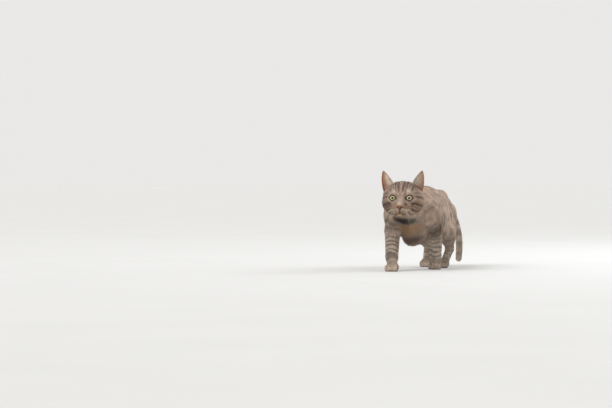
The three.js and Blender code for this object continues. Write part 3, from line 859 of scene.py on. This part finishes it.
def paintHead(colour, points, share):  # the head's lines and pale places, lips and lids
    h = toHead(points)
    h[:, 0] = np.abs(h[:, 0])
    onHeadShare = ease(share["head"], 0.1, 0.6)
    for middle, radius, name, strength in headPatches:
        near = np.exp(-((np.linalg.norm(h - middle, axis=1) / radius) ** 2) * 0.8)
        colour = mix(colour, tabby[name], strength * near * onHeadShare)
    headDark = np.zeros(len(points))
    for line, width, strength in headLines:
        wobble = width * (1 + 0.25 * wander(points, 18, 9))
        headDark = np.maximum(headDark, strength * hump(fromLine(h, line), wobble))
    headDark = headDark * np.maximum(onHeadShare, 0.6 * share["neck"])
    lips = 0.9 * hump(lineGap(h[:, 0], h[:, 2], mouthLine), 1.7, 4) * ease(h[:, 1], 5, 12)
    colour = layered(colour, ("stripe", headDark), ("lips", lips * onHeadShare))
    for eye in eyes.values():
        angle, outside = eyeMap(eye, points)
        ring = hump(np.maximum(outside, 0), 1.3)
        corner = hump(np.mod(angle, 2 * pi) - radians(205), 0.28) * hump(outside - 1, 3.5)
        lower = ease(-np.sin(angle), 0.1, 0.7) * hump(outside - 3.4, 1.6)
        colour = layered(colour, ("pale", 0.6 * lower), ("lidRim", np.maximum(0.92 * ring, 0.9 * corner)))
    return colour


def paint(points, facts):
    return paintHead(paintBody(points, facts), points, facts["share"])


def paintEar(points, a, t, hollow):
    count = len(points)
    colour = plain(tabby["ground"] * 0.88, count) * (1 + 0.1 * wander(points, 12, 1))[:, None]
    colour = layered(colour, ("stripe", 0.45 * ease(t, 0.62, 1.0)))
    streak = hump(a + 0.05, 0.45) * ease(t, 0.28, 0.5) * ease(-t, -0.95, -0.7)
    inside = layered(
        plain(tabby["earInside"], count), ("stripe", 0.22 * ease(t, 0.55, 1.0)), ("fringe", 0.6 * streak),
        # painted shade: the hollow darkened at its foot
        ("earEdge", 0.6 * ease(a, 0.3, 0.9)), ("earFootShade", 0.7 * hump(a, 0.6) * ease(-t, -0.25, 0.0)),
    )
    rim = ease(a, 0.72, 0.95) * ease(t, 0.03, 0.2) + 0.7 * ease(t, 0.86, 1.0)
    rim = 0.85 * np.clip(rim, 0, 1) * ease(hollow, -0.4, 0.6)
    # painted shade in the notch at the outer edge of the ear's foot
    notchShade = 0.85 * ease(a, 0.6, 0.95) * ease(-t, -0.12, 0.02)
    return layered(mix(colour, inside, ease(hollow, 0.3, 0.7)), ("earRim", rim), ("blackBandAndShade", notchShade))


earFacts = ("earAcross", "earUp", "earHollow")


def skinValues(name):
    return read(skin.data.attributes[name].data, "value")


def setTone(piece, colours):
    tone = piece.data.color_attributes.new("coatTone", "FLOAT_COLOR", "POINT")
    full = np.ones((len(colours), 4), dtype=np.float32)
    full[:, :3] = np.clip(colours, 0, 1)
    tone.data.foreach_set("color", full.ravel())


def paintSkin():
    points = corners(skin)
    normal = read(skin.data.vertices, "normal", 3)
    facts = survey(points)
    facts["normal"] = normal
    colour = paint(points, facts)
    colour[isEar] = paintEar(points[isEar], *[skinValues(name)[isEar] for name in earFacts])
    colour[isRim] = tabby["lidRim"]
    setTone(skin, colour * pattern["skinShade"])
    return points, normal, facts["share"]


skinPoints, skinNormals, skinShare = paintSkin()
print("skin painted")


# ---------- coat
# Where tufts stand: so many to a square millimetre, found triangle by triangle over the skin.
skin.data.calc_loop_triangles()
triCount = len(skin.data.loop_triangles)
triCorners = read(skin.data.loop_triangles, "vertices", 3, np.int32)
triLoops = read(skin.data.loop_triangles, "loops", 3, np.int32)
skinUv = read(skin.data.uv_layers["skinUnwrap"].data, "uv", 2)
triPoints = skinPoints[triCorners]
sideA, sideB = triPoints[:, 1] - triPoints[:, 0], triPoints[:, 2] - triPoints[:, 0]
triArea = np.linalg.norm(np.cross(sideA, sideB), axis=1) / 2
triMiddle = triPoints.mean(axis=1)
triHead = toHead(triMiddle)
triEar = isEar[triCorners].all(axis=1)
triLeaf = {name: skinValues(name)[triCorners].mean(axis=1) for name in earFacts}
partShares = np.stack([values[triCorners].mean(axis=1) for values in skinShare.values()])
triPart = np.array(list(skinShare))[np.argmax(partShares, axis=0)]


def findBare():  # lid rims, soles, eyes, nose, mouth and the ears' hidden foot
    bare = isRim[triCorners].any(axis=1) | (triMiddle[:, 2] < 1.2)
    for eye in eyes.values():
        bare |= eyeMap(eye, triMiddle)[1] < 0.6
    nose = np.linalg.norm((triHead - vec(0, 27, -23)) / vec(6.6, 6, 5), axis=1) < 1
    lips = (lineGap(np.abs(triHead[:, 0]), triHead[:, 2], mouthLine) < 0.7) & (triHead[:, 1] > 8)
    return bare | ((nose | lips) & ~triEar) | (triEar & (distanceTo(triMiddle) < 0.3))


bare = findBare()


def sow(chosen, density):
    expected = triArea * density * (chosen & ~bare)
    count = np.floor(expected + dice.random(triCount)).astype(int)
    tri = np.repeat(np.arange(triCount), count)
    u, v = dice.random((2, len(tri)))
    flip = u + v > 1
    u, v = np.where(flip, 1 - u, u), np.where(flip, 1 - v, v)
    weights = np.stack([1 - u - v, u, v], axis=1)
    root = (skinPoints[triCorners[tri]] * weights[:, :, None]).sum(axis=1)
    normal = unit((skinNormals[triCorners[tri]] * weights[:, :, None]).sum(axis=1))
    uv = (skinUv[triLoops[tri]] * weights[:, :, None]).sum(axis=1)
    return root, normal, uv, tri


tuft = {  # corners run from the root to the tip: shade and place in its patch of each, then the faces
    # the shade of each corner is painted shade: the tuft darker towards its root, lighter at its tip
    "straight": {
        "shade": vec(0.88, 0.88, 0.92, 1.04), "patch": [(-1, -1), (1, -1), (0, -0.6), (0, 1)],
        "faces": [(0, 2, 3), (1, 3, 2), (0, 3, 1), (0, 1, 2)],
    },
    "curved": {
        "shade": vec(0.85, 0.85, 0.9, 0.97, 0.97, 1.0, 1.0),
        "patch": [(-1, -1), (1, -1), (0, -0.7), (-0.8, 0), (0.8, 0), (0, 0.2), (0, 1)],
        "faces": [(0, 2, 5), (0, 5, 3), (1, 4, 5), (1, 5, 2), (0, 3, 4),
                  (0, 4, 1), (0, 1, 2), (3, 5, 6), (4, 6, 5), (3, 6, 4)],
    },
    "tall": 0.42, "sunk": 0.25, "reach": 0.98, "floor": 0.05, "sway": 0.13,
    "ticking": 0.1, "tipTicking": 0.12, "patchHalf": 0.0015,
}


def growTufts(name, root, normal, uv, lie, length, width, rise, colour, tipLight):
    # rise holds the height of the tip, or those of the middle and the tip of a curved tuft
    count = len(root)
    shape = tuft["curved" if len(rise) > 1 else "straight"]
    lie = unit(lie - (lie * normal).sum(1)[:, None] * normal)
    side = unit(np.cross(lie, normal))
    sway = dice.normal(0, tuft["sway"], count) + 0.2 * wander(root, 13, 3)
    lie = unit(lie + sway[:, None] * side)
    side = unit(np.cross(lie, normal))
    half = (width / 2)[:, None]
    tall = (tuft["tall"] * width)[:, None]
    base = root - tuft["sunk"] * normal
    rows = [base - half * side, base + half * side, base + tall * normal]
    if len(rise) > 1:
        mid = root + (0.5 * length)[:, None] * lie + rise[0][:, None] * normal
        rows += [mid - 0.8 * half * side, mid + 0.8 * half * side, mid + 0.75 * tall * normal]
    rows.append(root + (tuft["reach"] * length)[:, None] * lie + rise[-1][:, None] * normal)
    points = np.stack(rows, axis=1)
    points[:, :, 2] = np.maximum(points[:, :, 2], tuft["floor"])
    per = points.shape[1]
    triangles = (np.arange(count) * per)[:, None, None] + np.array(shape["faces"])[None]
    piece = meshFrom(name, points.reshape(-1, 3), triangles.reshape(-1, 3))
    ticking = 1 + dice.normal(0, tuft["ticking"], count)[:, None] * np.ones(per)[None]
    ticking[:, -1] *= tipLight + dice.normal(0, tuft["tipTicking"], count)
    tone = colour[:, None, :] * (shape["shade"][None] * ticking)[:, :, None]
    setTone(piece, tone.reshape(-1, 3))
    patch = uv[:, None, :] + tuft["patchHalf"] * np.array(shape["patch"])[None]
    layer = piece.data.uv_layers.new(name="OFBake")
    layer.data.foreach_set("uv", patch.reshape(-1, 2)[triangles.ravel()].ravel())
    print(name, len(triangles) * len(shape["faces"]), "triangles")
    return piece


coatPieces = []


def standOff(points, share):  # how far the hair of belly, chest, cheeks and thighs hangs or stands off
    _, y, z = (points - cornerShift).T
    h = toHead(points)
    belly = 6 * ease(-(z - 96), 0, 26) * share["trunk"]
    chest = 4 * ease(-(y + 104), 0, 26) * ease(126 - z, 0, 26) * (share["neck"] + share["trunk"])
    cheek = 3.2 * ease(-h[:, 1], 22, 40) * ease(-h[:, 2], -6, 8) * ease(np.abs(h[:, 0]), 28, 40)
    cheek = cheek * share["head"]
    thigh = 2.5 * ease(y, 128, 165) * share["upperLeg"] + 1.5 * ease(-y, 0, 60) * share["lowerLeg"]
    return np.maximum(np.maximum(belly, chest), np.maximum(cheek, thigh))


def growRegion(name, chosen, density, widthShare, tipLight):
    root, normal, uv, _ = sow(chosen, density)
    facts = survey(root)
    facts["normal"] = normal
    colour = paint(root, facts)
    lie, hair, depth = facts["lie"], facts["hair"], facts["depth"]
    for eye in eyes.values():  # round the eyes the coat is short and leads away from the lids
        near = hump(np.maximum(eyeMap(eye, root)[1], 0), 5)
        lie = lie + (1.6 * near)[:, None] * unit(root - eye["centre"] - 6 * eye["gaze"])
        hair = hair * (1 - 0.5 * near)
    stand = standOff(root, facts["share"])
    length = (hair + 0.9 * stand) * dice.uniform(0.75, 1.15, len(root))
    width = widthShare * (0.35 + 0.085 * hair) * dice.uniform(0.8, 1.25, len(root))
    flat = unit(lie - (lie * normal).sum(1)[:, None] * normal)
    reach = tuft["reach"]
    tipLevel = distanceTo(root) + depth * 0.93 * dice.uniform(0.7, 1.1, len(root))
    tipLevel = tipLevel + stand * reach * dice.uniform(0.4, 1, len(root))
    rise = tipLevel - distanceTo(root + (reach * length)[:, None] * flat)
    rise = np.clip(rise, -0.3 * length * reach, 0.7 * length * reach + 0.2)
    coatPieces.append(growTufts(name, root, normal, uv, lie, length, width, [rise], colour, tipLight))


def inPart(part):
    return (triPart == part) & ~triEar


isFace = inPart("head") & (triHead[:, 1] > -22)
isHigh = triMiddle[:, 2] > 165
isLeft = triMiddle[:, 0] > 0
isFront = triMiddle[:, 1] < 0
regions = [  # where, tufts to a square millimetre, share of the full width, light of the tips
    ("coatFace", isFace, 3.2, 0.9, 1.05),
    ("coatCrown", inPart("head") & ~isFace, 2.2, 0.8, 1.12),
    ("coatNeck", inPart("neck"), 1.6, 0.75, 1.12),
    ("coatBack", inPart("trunk") & isHigh, 1.35, 0.72, 1.12),
    ("coatFlankLeft", inPart("trunk") & ~isHigh & isLeft, 1.35, 0.72, 1.12),
    ("coatFlankRight", inPart("trunk") & ~isHigh & ~isLeft, 1.35, 0.72, 1.12),
    ("coatShoulders", inPart("upperLeg") & isFront, 1.5, 0.74, 1.12),
    ("coatThighs", inPart("upperLeg") & ~isFront, 1.5, 0.74, 1.12),
    ("coatLegs", inPart("lowerLeg"), 1.5, 0.9, 1.12),
    ("coatPaws", inPart("paw"), 2.5, 0.95, 1.12),
    ("coatTail", inPart("tail"), 1.7, 0.8, 1.12),
]
for region in regions:
    growRegion(*region)

earCoat = {
    "density": 3.6, "insideShare": 0.3, "length": (2.6, 4.2), "width": 0.48, "rise": 0.55, "tipLight": 1.05,
}
fringe = {"count": 1500, "fromEdge": 0.62, "length": (8, 15), "width": 0.5, "tipLight": 1.05}


def growEars():
    root, normal, uv, tri = sow(triEar, earCoat["density"])
    a, t, hollow = [triLeaf[name][tri] for name in earFacts]
    keep = (hollow < 0.5) | (dice.random(len(root)) < earCoat["insideShare"])
    root, normal, uv, a, t, hollow = [v[keep] for v in (root, normal, uv, a, t, hollow)]
    count = len(root)
    side = np.sign((root - betweenEyes) @ headLeft)
    lie = mirrored(side, plain(unit(earRise), count)) - betweenEyes
    length = dice.uniform(*earCoat["length"], count) * (1 - 0.35 * np.clip(t, 0, 1))
    width = earCoat["width"] * dice.uniform(0.8, 1.2, count)
    rise = earCoat["rise"] * dice.uniform(0.7, 1.3, count)
    colour = paintEar(root, a, t, hollow)
    light = earCoat["tipLight"]
    coatPieces.append(growTufts("coatEars", root, normal, uv, lie, length, width, [rise], colour, light))


def growEarFringe():  # long pale hair that springs from the inner edge and the foot and crosses the hollow
    count = fringe["count"]
    side = np.where(np.arange(count) % 2 == 0, 1.0, -1.0)
    fromEdge = dice.random(count) < fringe["fromEdge"]
    a = np.where(fromEdge, dice.uniform(-0.98, -0.6, count), dice.uniform(-0.8, 0.6, count))
    t = np.where(fromEdge, dice.uniform(0.04, 0.62, count), dice.uniform(0.04, 0.18, count))
    inward = leafInward(a, t)
    root = mirrored(side, leafPoint(a, t) + 0.8 * inward)
    lie = mirrored(side, unit(unit(earRise) + 0.15 * dice.normal(size=(count, 3)))) - betweenEyes
    normal = mirrored(side, inward) - betweenEyes
    length = dice.uniform(*fringe["length"], count) * (1 - 0.5 * t)
    colour = plain(tabby["fringe"], count) * dice.uniform(0.8, 1.02, count)[:, None]
    faces = [skin.closest_point_on_mesh(Vector(spot * mm))[3] for spot in root]
    uv = np.array([skinUv[skin.data.polygons[face].loop_start] for face in faces])
    width = np.full(count, fringe["width"])
    rise = [0.26 * length, np.where(fromEdge, 0.5, 0.3) * length]
    light = fringe["tipLight"]
    coatPieces.append(growTufts("coatEarFringe", root, normal, uv, lie, length, width, rise, colour, light))


growEars()
growEarFringe()
print("coat grown")


# ---------- materials
def feed(tree, node, inputs):  # each input is a value, or the output that it is linked to
    for key, value in inputs.items():
        if isinstance(value, bpy.types.NodeSocket):
            tree.links.new(value, node.inputs[key])
        else:
            node.inputs[key].default_value = value


def addNode(tree, kind, inputs, **settings):  # gives back its outputs
    node = tree.nodes.new("ShaderNode" + kind)
    for key, value in settings.items():
        setattr(node, key, value)
    feed(tree, node, inputs)
    return node.outputs


def newMaterial(name):
    material = bpy.data.materials.new(name)
    material.use_nodes = True
    return material, material.node_tree, material.node_tree.nodes["Principled BSDF"]


def objectCoords(tree):
    return addNode(tree, "TexCoord", {})["Object"]


def paintedTone(tree):
    return addNode(tree, "VertexColor", {}, layer_name="coatTone")["Color"]


def multiplied(tree, factor, a, b):  # colour a, multiplied by b as far as the factor says
    inputs = {"Factor": factor, "A": a, "B": b}
    return addNode(tree, "Mix", inputs, data_type="RGBA", blend_type="MULTIPLY")["Result"]


def bumped(tree, height, strength, distance, invert=False):
    inputs = {"Height": height, "Strength": strength, "Distance": distance * mm}
    return addNode(tree, "Bump", inputs, invert=invert)["Normal"]


def ranged(tree, value, low, high, **ends):
    return addNode(tree, "MapRange", {"Value": value, "To Min": low, "To Max": high, **ends})["Result"]


def rampOf(tree, value, stops):  # stops: place from 0 to 1, and colour
    ramp = tree.nodes.new("ShaderNodeValToRGB")
    elements = ramp.color_ramp.elements
    while len(elements) < len(stops):
        elements.new(0.5)
    for element, (spot, colour) in zip(elements, stops):
        element.position = spot
        element.color = (*colour, 1)
    feed(tree, ramp, {"Fac": value})
    return ramp.outputs["Color"]


def buildStrands():  # fine streaks along the coat: a shade that varies and a height
    group = bpy.data.node_groups.new("strandStreaks", "ShaderNodeTree")
    for socket, kind, way in (
        ("Tone", "Color", "INPUT"), ("Scale", "Float", "INPUT"), ("Contrast", "Float", "INPUT"),
        ("Colour", "Color", "OUTPUT"), ("Height", "Float", "OUTPUT"), ("Roughness", "Float", "OUTPUT"),
    ):
        group.interface.new_socket(socket, in_out=way, socket_type="NodeSocket" + kind)
    given = group.nodes.new("NodeGroupInput").outputs
    coords = objectCoords(group)
    stretched = addNode(group, "Mapping", {"Vector": coords, "Scale": (1, 0.3, 0.45)})["Vector"]
    fine = addNode(group, "TexNoise", {"Vector": stretched, "Scale": given["Scale"], "Detail": 6})["Fac"]
    broad = addNode(group, "TexNoise", {"Vector": coords, "Scale": 55})["Fac"]
    low = addNode(group, "Math", {0: 1, 1: given["Contrast"]}, operation="SUBTRACT")[0]
    high = addNode(group, "Math", {0: 1, 1: given["Contrast"]}, operation="ADD")[0]
    shade = ranged(group, fine, low, high, **{"From Min": 0.3, "From Max": 0.7})
    streaked = multiplied(group, 1, given["Tone"], shade)
    warmed = multiplied(group, broad, streaked, (1.04, 0.97, 0.9, 1))
    made = {"Colour": warmed, "Height": fine, "Roughness": ranged(group, fine, 0.62, 0.88)}
    feed(group, group.nodes.new("NodeGroupOutput"), made)
    return group


strandStreaks = buildStrands()


def furMaterial(name, scale, contrast, bumpHeight, sheen):
    material, tree, shader = newMaterial(name)
    given = {"Tone": paintedTone(tree), "Scale": scale, "Contrast": contrast}
    streaks = addNode(tree, "Group", given, node_tree=strandStreaks)
    feed(tree, shader, {
        "Base Color": streaks["Colour"], "Roughness": streaks["Roughness"],
        "Normal": bumped(tree, streaks["Height"], 0.6, bumpHeight),
        "Specular IOR Level": 0.16, "Sheen Weight": sheen, "Sheen Roughness": 0.5,
    })
    return material


def leatherMaterial(name, scale, bumpHeight, roughness):
    material, tree, shader = newMaterial(name)
    cells = addNode(tree, "TexVoronoi", {"Vector": objectCoords(tree), "Scale": scale})["Distance"]
    feed(tree, shader, {
        "Base Color": multiplied(tree, cells, paintedTone(tree), (0.72, 0.66, 0.64, 1)),
        "Roughness": ranged(tree, cells, roughness, roughness + 0.2),
        "Normal": bumped(tree, cells, 0.5, bumpHeight, invert=True),
    })
    return material


def cloudedMaterial(name, noise, stops, roughness):  # wanders between the colours of its stops
    material, tree, shader = newMaterial(name)
    cloud = addNode(tree, "TexNoise", {"Vector": objectCoords(tree), **noise})["Fac"]
    feed(tree, shader, {"Base Color": rampOf(tree, cloud, stops), "Roughness": roughness})
    return material


skin.data.materials.clear()
skin.data.materials.append(furMaterial("skinUnderFur", 380, 0.2, 0.5, 0.05))
tuftFur = furMaterial("tuftFur", 420, 0.14, 0.2, 0.06)
for piece in coatPieces:
    piece.data.materials.append(tuftFur)


# ---------- eyes
iris = {
    "pupil": 3.15, "soft": (0.15, 0.2), "fibres": 9, "ragged": 1.1, "reach": 12, "wet": (0.1, 0.22),
    "stops": [  # millimetres from the middle, and colour
        (0.0, (118, 116, 52)), (3.6, (160, 152, 96)), (4.6, (212, 206, 152)), (6.4, (190, 188, 146)),
        (7.6, (124, 120, 92)), (8.4, (44, 38, 26)), (11.5, (30, 24, 20)),
    ],
}


def eyeMaterial(name, eye):
    material, tree, shader = newMaterial(name)
    axes = Matrix([np.cross(eye["gaze"], eye["up"]), eye["gaze"], eye["up"]])
    turned = {"Rotation": axes.to_euler(), "Location": -(axes @ Vector(eye["centre"] * mm))}
    local = addNode(tree, "Mapping", {"Vector": objectCoords(tree), **turned})["Vector"]
    flat = addNode(tree, "VectorMath", {0: local, 1: (1 / mm, 0, 1 / mm)}, operation="MULTIPLY")["Vector"]
    length = addNode(tree, "VectorMath", {0: flat}, operation="LENGTH")["Value"]
    around = addNode(tree, "VectorMath", {0: flat}, operation="NORMALIZE")["Vector"]
    fibres = addNode(tree, "TexNoise", {"Vector": around, "Scale": iris["fibres"], "Detail": 5})["Fac"]
    ragged = addNode(tree, "Math", {0: fibres, 1: iris["ragged"], 2: length}, operation="MULTIPLY_ADD")[0]
    spread = ranged(tree, ragged, 0, 1, **{"From Max": iris["reach"]})
    stops = [(spot / iris["reach"], linear(*colour)) for spot, colour in iris["stops"]]
    edge = {"From Min": iris["pupil"] - iris["soft"][0], "From Max": iris["pupil"] + iris["soft"][1]}
    whole = {"A": (0.004, 0.004, 0.005, 1), "B": rampOf(tree, spread, stops)}
    whole["Factor"] = ranged(tree, length, 0, 1, **edge)
    feed(tree, shader, {
        "Base Color": addNode(tree, "Mix", whole, data_type="RGBA")["Result"],
        "Roughness": ranged(tree, fibres, *iris["wet"]),
        "Specular IOR Level": 0, "Coat Weight": 0.8, "Coat Roughness": 0.02,
    })
    return material


def addEye(side, name):
    eye = eyes[side]
    ball = addBall(name, eyeball["segments"], eyeball["rings"])
    p = unit(corners(ball))
    fromPole = np.arccos(np.clip(p[:, 2], -1, 1))
    bulge = eyeball["bulge"] * (1 - ease(fromPole, 0, radians(48)))  # the clear front stands out
    inward = np.cross(eye["gaze"], eye["outward"])
    p = p[:, :1] * eye["outward"] + p[:, 1:2] * inward + p[:, 2:] * eye["gaze"]
    setCorners(ball, eye["centre"] + p * (eyeball["radius"] - eyeball["inset"] + bulge)[:, None])
    faceOutwards(ball)
    bpy.ops.object.shade_smooth()
    ball.data.materials.append(eyeMaterial(name + "Iris", eye))
    return ball


eyeLeft, eyeRight = addEye(1, "eyeLeft"), addEye(-1, "eyeRight")
print("eyes set")


# ---------- nose leather: a wedge, wide above, with a comma of a nostril on each side
noseShape = {
    "middle": (0, 26.4, -24), "halfWidth": 8.8, "halfHeight": 5.8, "depth": 4.3, "segments": 64, "rings": 48,
    "nostril": (4.0, 0.6, 2.2), "slit": (5.8, 1.2, 1.4), "crease": 0.8,  # across, below the middle, depth
    "brick": (126, 66, 46), "rosy": (160, 90, 66), "edge": (48, 28, 23), "shadow": (20, 11, 9),
}


def addNose():
    nose = addBall("noseLeather", noseShape["segments"], noseShape["rings"])
    p = unit(corners(nose))
    x, ahead, up = p[:, 0], -p[:, 1], p[:, 2]
    narrow = 0.3 + 0.7 * ease(up, -1.0, 0.55)
    wide = noseShape["halfWidth"] * narrow * np.sign(x) * np.abs(x) ** 0.9
    high = noseShape["halfHeight"] * up - 0.8 * (np.abs(x) ** 2) * ease(up, 0, 1)
    out = noseShape["depth"] * np.sign(ahead) * np.abs(ahead) ** 0.75 + 0.9 * ease(up, -0.6, 0.7)
    holeAt, holeBelow, holeDepth = noseShape["nostril"]
    slitAt, slitBelow, slitDepth = noseShape["slit"]
    aside = np.abs(wide)
    nostril = hump(aside - holeAt, 1.8) * hump(high + holeBelow + 0.25 * (aside - holeAt), 1.5)
    slit = hump(aside - slitAt, 1.6) * hump(high + slitBelow, 0.6)
    crease = hump(wide, 0.55) * ease(-high, -2.5, 2)
    front = ease(ahead, 0, 0.5)
    out = out - (holeDepth * nostril + slitDepth * slit + noseShape["crease"] * crease) * front
    setCorners(nose, fromHead(np.stack([wide, out, high], axis=1) + vec(*noseShape["middle"])))
    edge = ease(np.hypot(x, up), 0.62, 0.95) * (1 - 0.7 * ease(up, 0.2, 0.7))
    deep = np.clip(nostril + 0.8 * slit, 0, 1) * front
    colour = plain(linear(*noseShape["brick"]), len(p))
    for name, share in (("rosy", ease(up, 0.0, 0.6) * 0.5), ("edge", edge), ("shadow", deep)):
        colour = mix(colour, linear(*noseShape[name]), share)
    setTone(nose, colour)
    faceOutwards(nose)
    bpy.ops.object.shade_smooth()
    nose.data.materials.append(leatherMaterial("noseSkin", 1500, 0.25, 0.38))
    return nose


noseLeather = addNose()


# ---------- pads under the toes
pads = {"toe": (3.6, 5.4), "palm": (9.5, 7.5), "palmBack": 15, "thick": 3.2, "segments": 20, "rings": 12}


def addPad(x, y, halfX, halfY):
    pad = addBall("pad", pads["segments"], pads["rings"])
    p = corners(pad) * mm
    high = pads["thick"] + pads["thick"] * np.clip(p[:, 2] * 1.15, -1, 1)  # flat below and above
    setCorners(pad, np.stack([x + halfX * p[:, 0], y + halfY * p[:, 1], high], axis=1))
    return pad


def addPads():
    made = []
    for i, toe in enumerate(toeTips):
        made.append(addPad(toe[0], toe[1] - 1.5, *pads["toe"]))
        if i % 4 == 1:  # the large pad behind the four
            made.append(addPad((toe[0] + toeTips[i + 1][0]) / 2, toe[1] + pads["palmBack"], *pads["palm"]))
    pick(*made)
    bpy.ops.object.join()
    bpy.ops.object.shade_smooth()
    piece = bpy.context.object
    piece.name = "toePads"
    p = corners(piece)
    setTone(piece, tabby["sole"][None] * (1 + 0.15 * wander(p, 9, 1))[:, None])
    piece.data.materials.append(leatherMaterial("padSkin", 1100, 0.3, 0.6))
    return piece


toePads = addPads()


# ---------- whiskers: tapered tubes that spring from the pads and brows and droop
whisker = {
    "sides": 4, "rings": 10, "lengths": (34, 44, 50, 44), "thick": 0.55, "rows": 2,
    "brows": 3, "browLength": 26, "browThick": 0.45, "browDroop": -4, "sunk": -1.2,
    "root": (214, 205, 180), "tip": (236, 230, 212),
}


def whiskerRings(start, heading, length, thick, droop):  # corners, ring by ring from the root
    heading = unit(heading)
    points = []
    for t in np.arange(whisker["rings"]) / (whisker["rings"] - 1):
        middle = start + heading * length * t * (1 - 0.3 * t) + vec(0, 0, -droop) * t * t
        ahead = unit(heading * length * (1 - 0.6 * t) + vec(0, 0, -2 * droop * t))
        side = unit(np.cross(ahead, headUp + 0.01))
        top = np.cross(side, ahead)
        radius = thick / 2 * (1 - 0.85 * t)
        for k in range(whisker["sides"]):
            turn = 2 * pi * k / whisker["sides"]
            points.append(middle + radius * (cos(turn) * side + sin(turn) * top))
    return points


def whiskerFaces(first):
    sides, faces = whisker["sides"], []
    last = first + (whisker["rings"] - 1) * sides
    for ring in range(first, last, sides):
        for k in range(sides):
            a, b = ring + k, ring + (k + 1) % sides
            faces += [(a, b, b + sides), (a, b + sides, a + sides)]
    faces += [(first + 2, first + 1, first), (first + 3, first + 2, first)]
    return faces + [(last, last + 1, last + 2), (last, last + 2, last + 3)]


def onSurface(side, start):  # a root in the skin, from a place on the left half of the head
    root = fromHead(start * vec(side, 1, 1))
    return settle(root[None], whisker["sunk"], 8)[0]


def addWhiskers():
    points = []
    for side in (1, -1):
        for row in range(whisker["rows"]):
            for k, usual in enumerate(whisker["lengths"]):
                start = vec(8.5 + 3.4 * k, 30, -26.5 - 4.5 * row - 0.5 * k)
                heading = vec(0.8 - 0.28 * row, 0.42 - 0.26 * k, -0.3 - 0.55 * row + 0.1 * k)
                heading = (heading * vec(side, 1, 1)) @ headAxes.T
                length = usual * dice.uniform(0.88, 1.08)
                droop = length * dice.uniform(0.5, 0.8)
                points += whiskerRings(onSurface(side, start), heading, length, whisker["thick"], droop)
        for k in range(whisker["brows"]):
            root = onSurface(side, vec(14 + 4 * k, 12, 15 + k))
            heading = vec(side * (0.35 + 0.25 * k), 0.5, 0.9) @ headAxes.T
            length = whisker["browLength"] - 3 * k
            points += whiskerRings(root, heading, length, whisker["browThick"], whisker["browDroop"])
    each = whisker["sides"] * whisker["rings"]
    faces = [face for first in range(0, len(points), each) for face in whiskerFaces(first)]
    piece = meshFrom("whiskers", np.array(points), np.array(faces))
    stops = [(0.35, linear(*whisker["root"])), (0.65, linear(*whisker["tip"]))]
    piece.data.materials.append(cloudedMaterial("whiskerHorn", {"Scale": 240}, stops, 0.35))
    return piece


whiskers = addWhiskers()
print("nose, pads and whiskers made")

# ---------- floor
bpy.ops.mesh.primitive_circle_add(vertices=96, radius=40, fill_type="NGON")
floor = bpy.context.object
floor.name = "floor"
paleStops = [(0.0, (0.70, 0.70, 0.69)), (1.0, (0.75, 0.75, 0.74))]
floor.data.materials.append(cloudedMaterial("paleFloor", {"Scale": 3, "Detail": 5}, paleStops, 0.8))

# ---------- what rides where, and which solids the new pieces hide
for piece in (skin, *coatPieces, eyeLeft, eyeRight, noseLeather, toePads, whiskers):
    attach(piece, "root")
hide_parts(*fleshNodes)
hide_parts("eye_left")
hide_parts("eye_right")
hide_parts("nose")
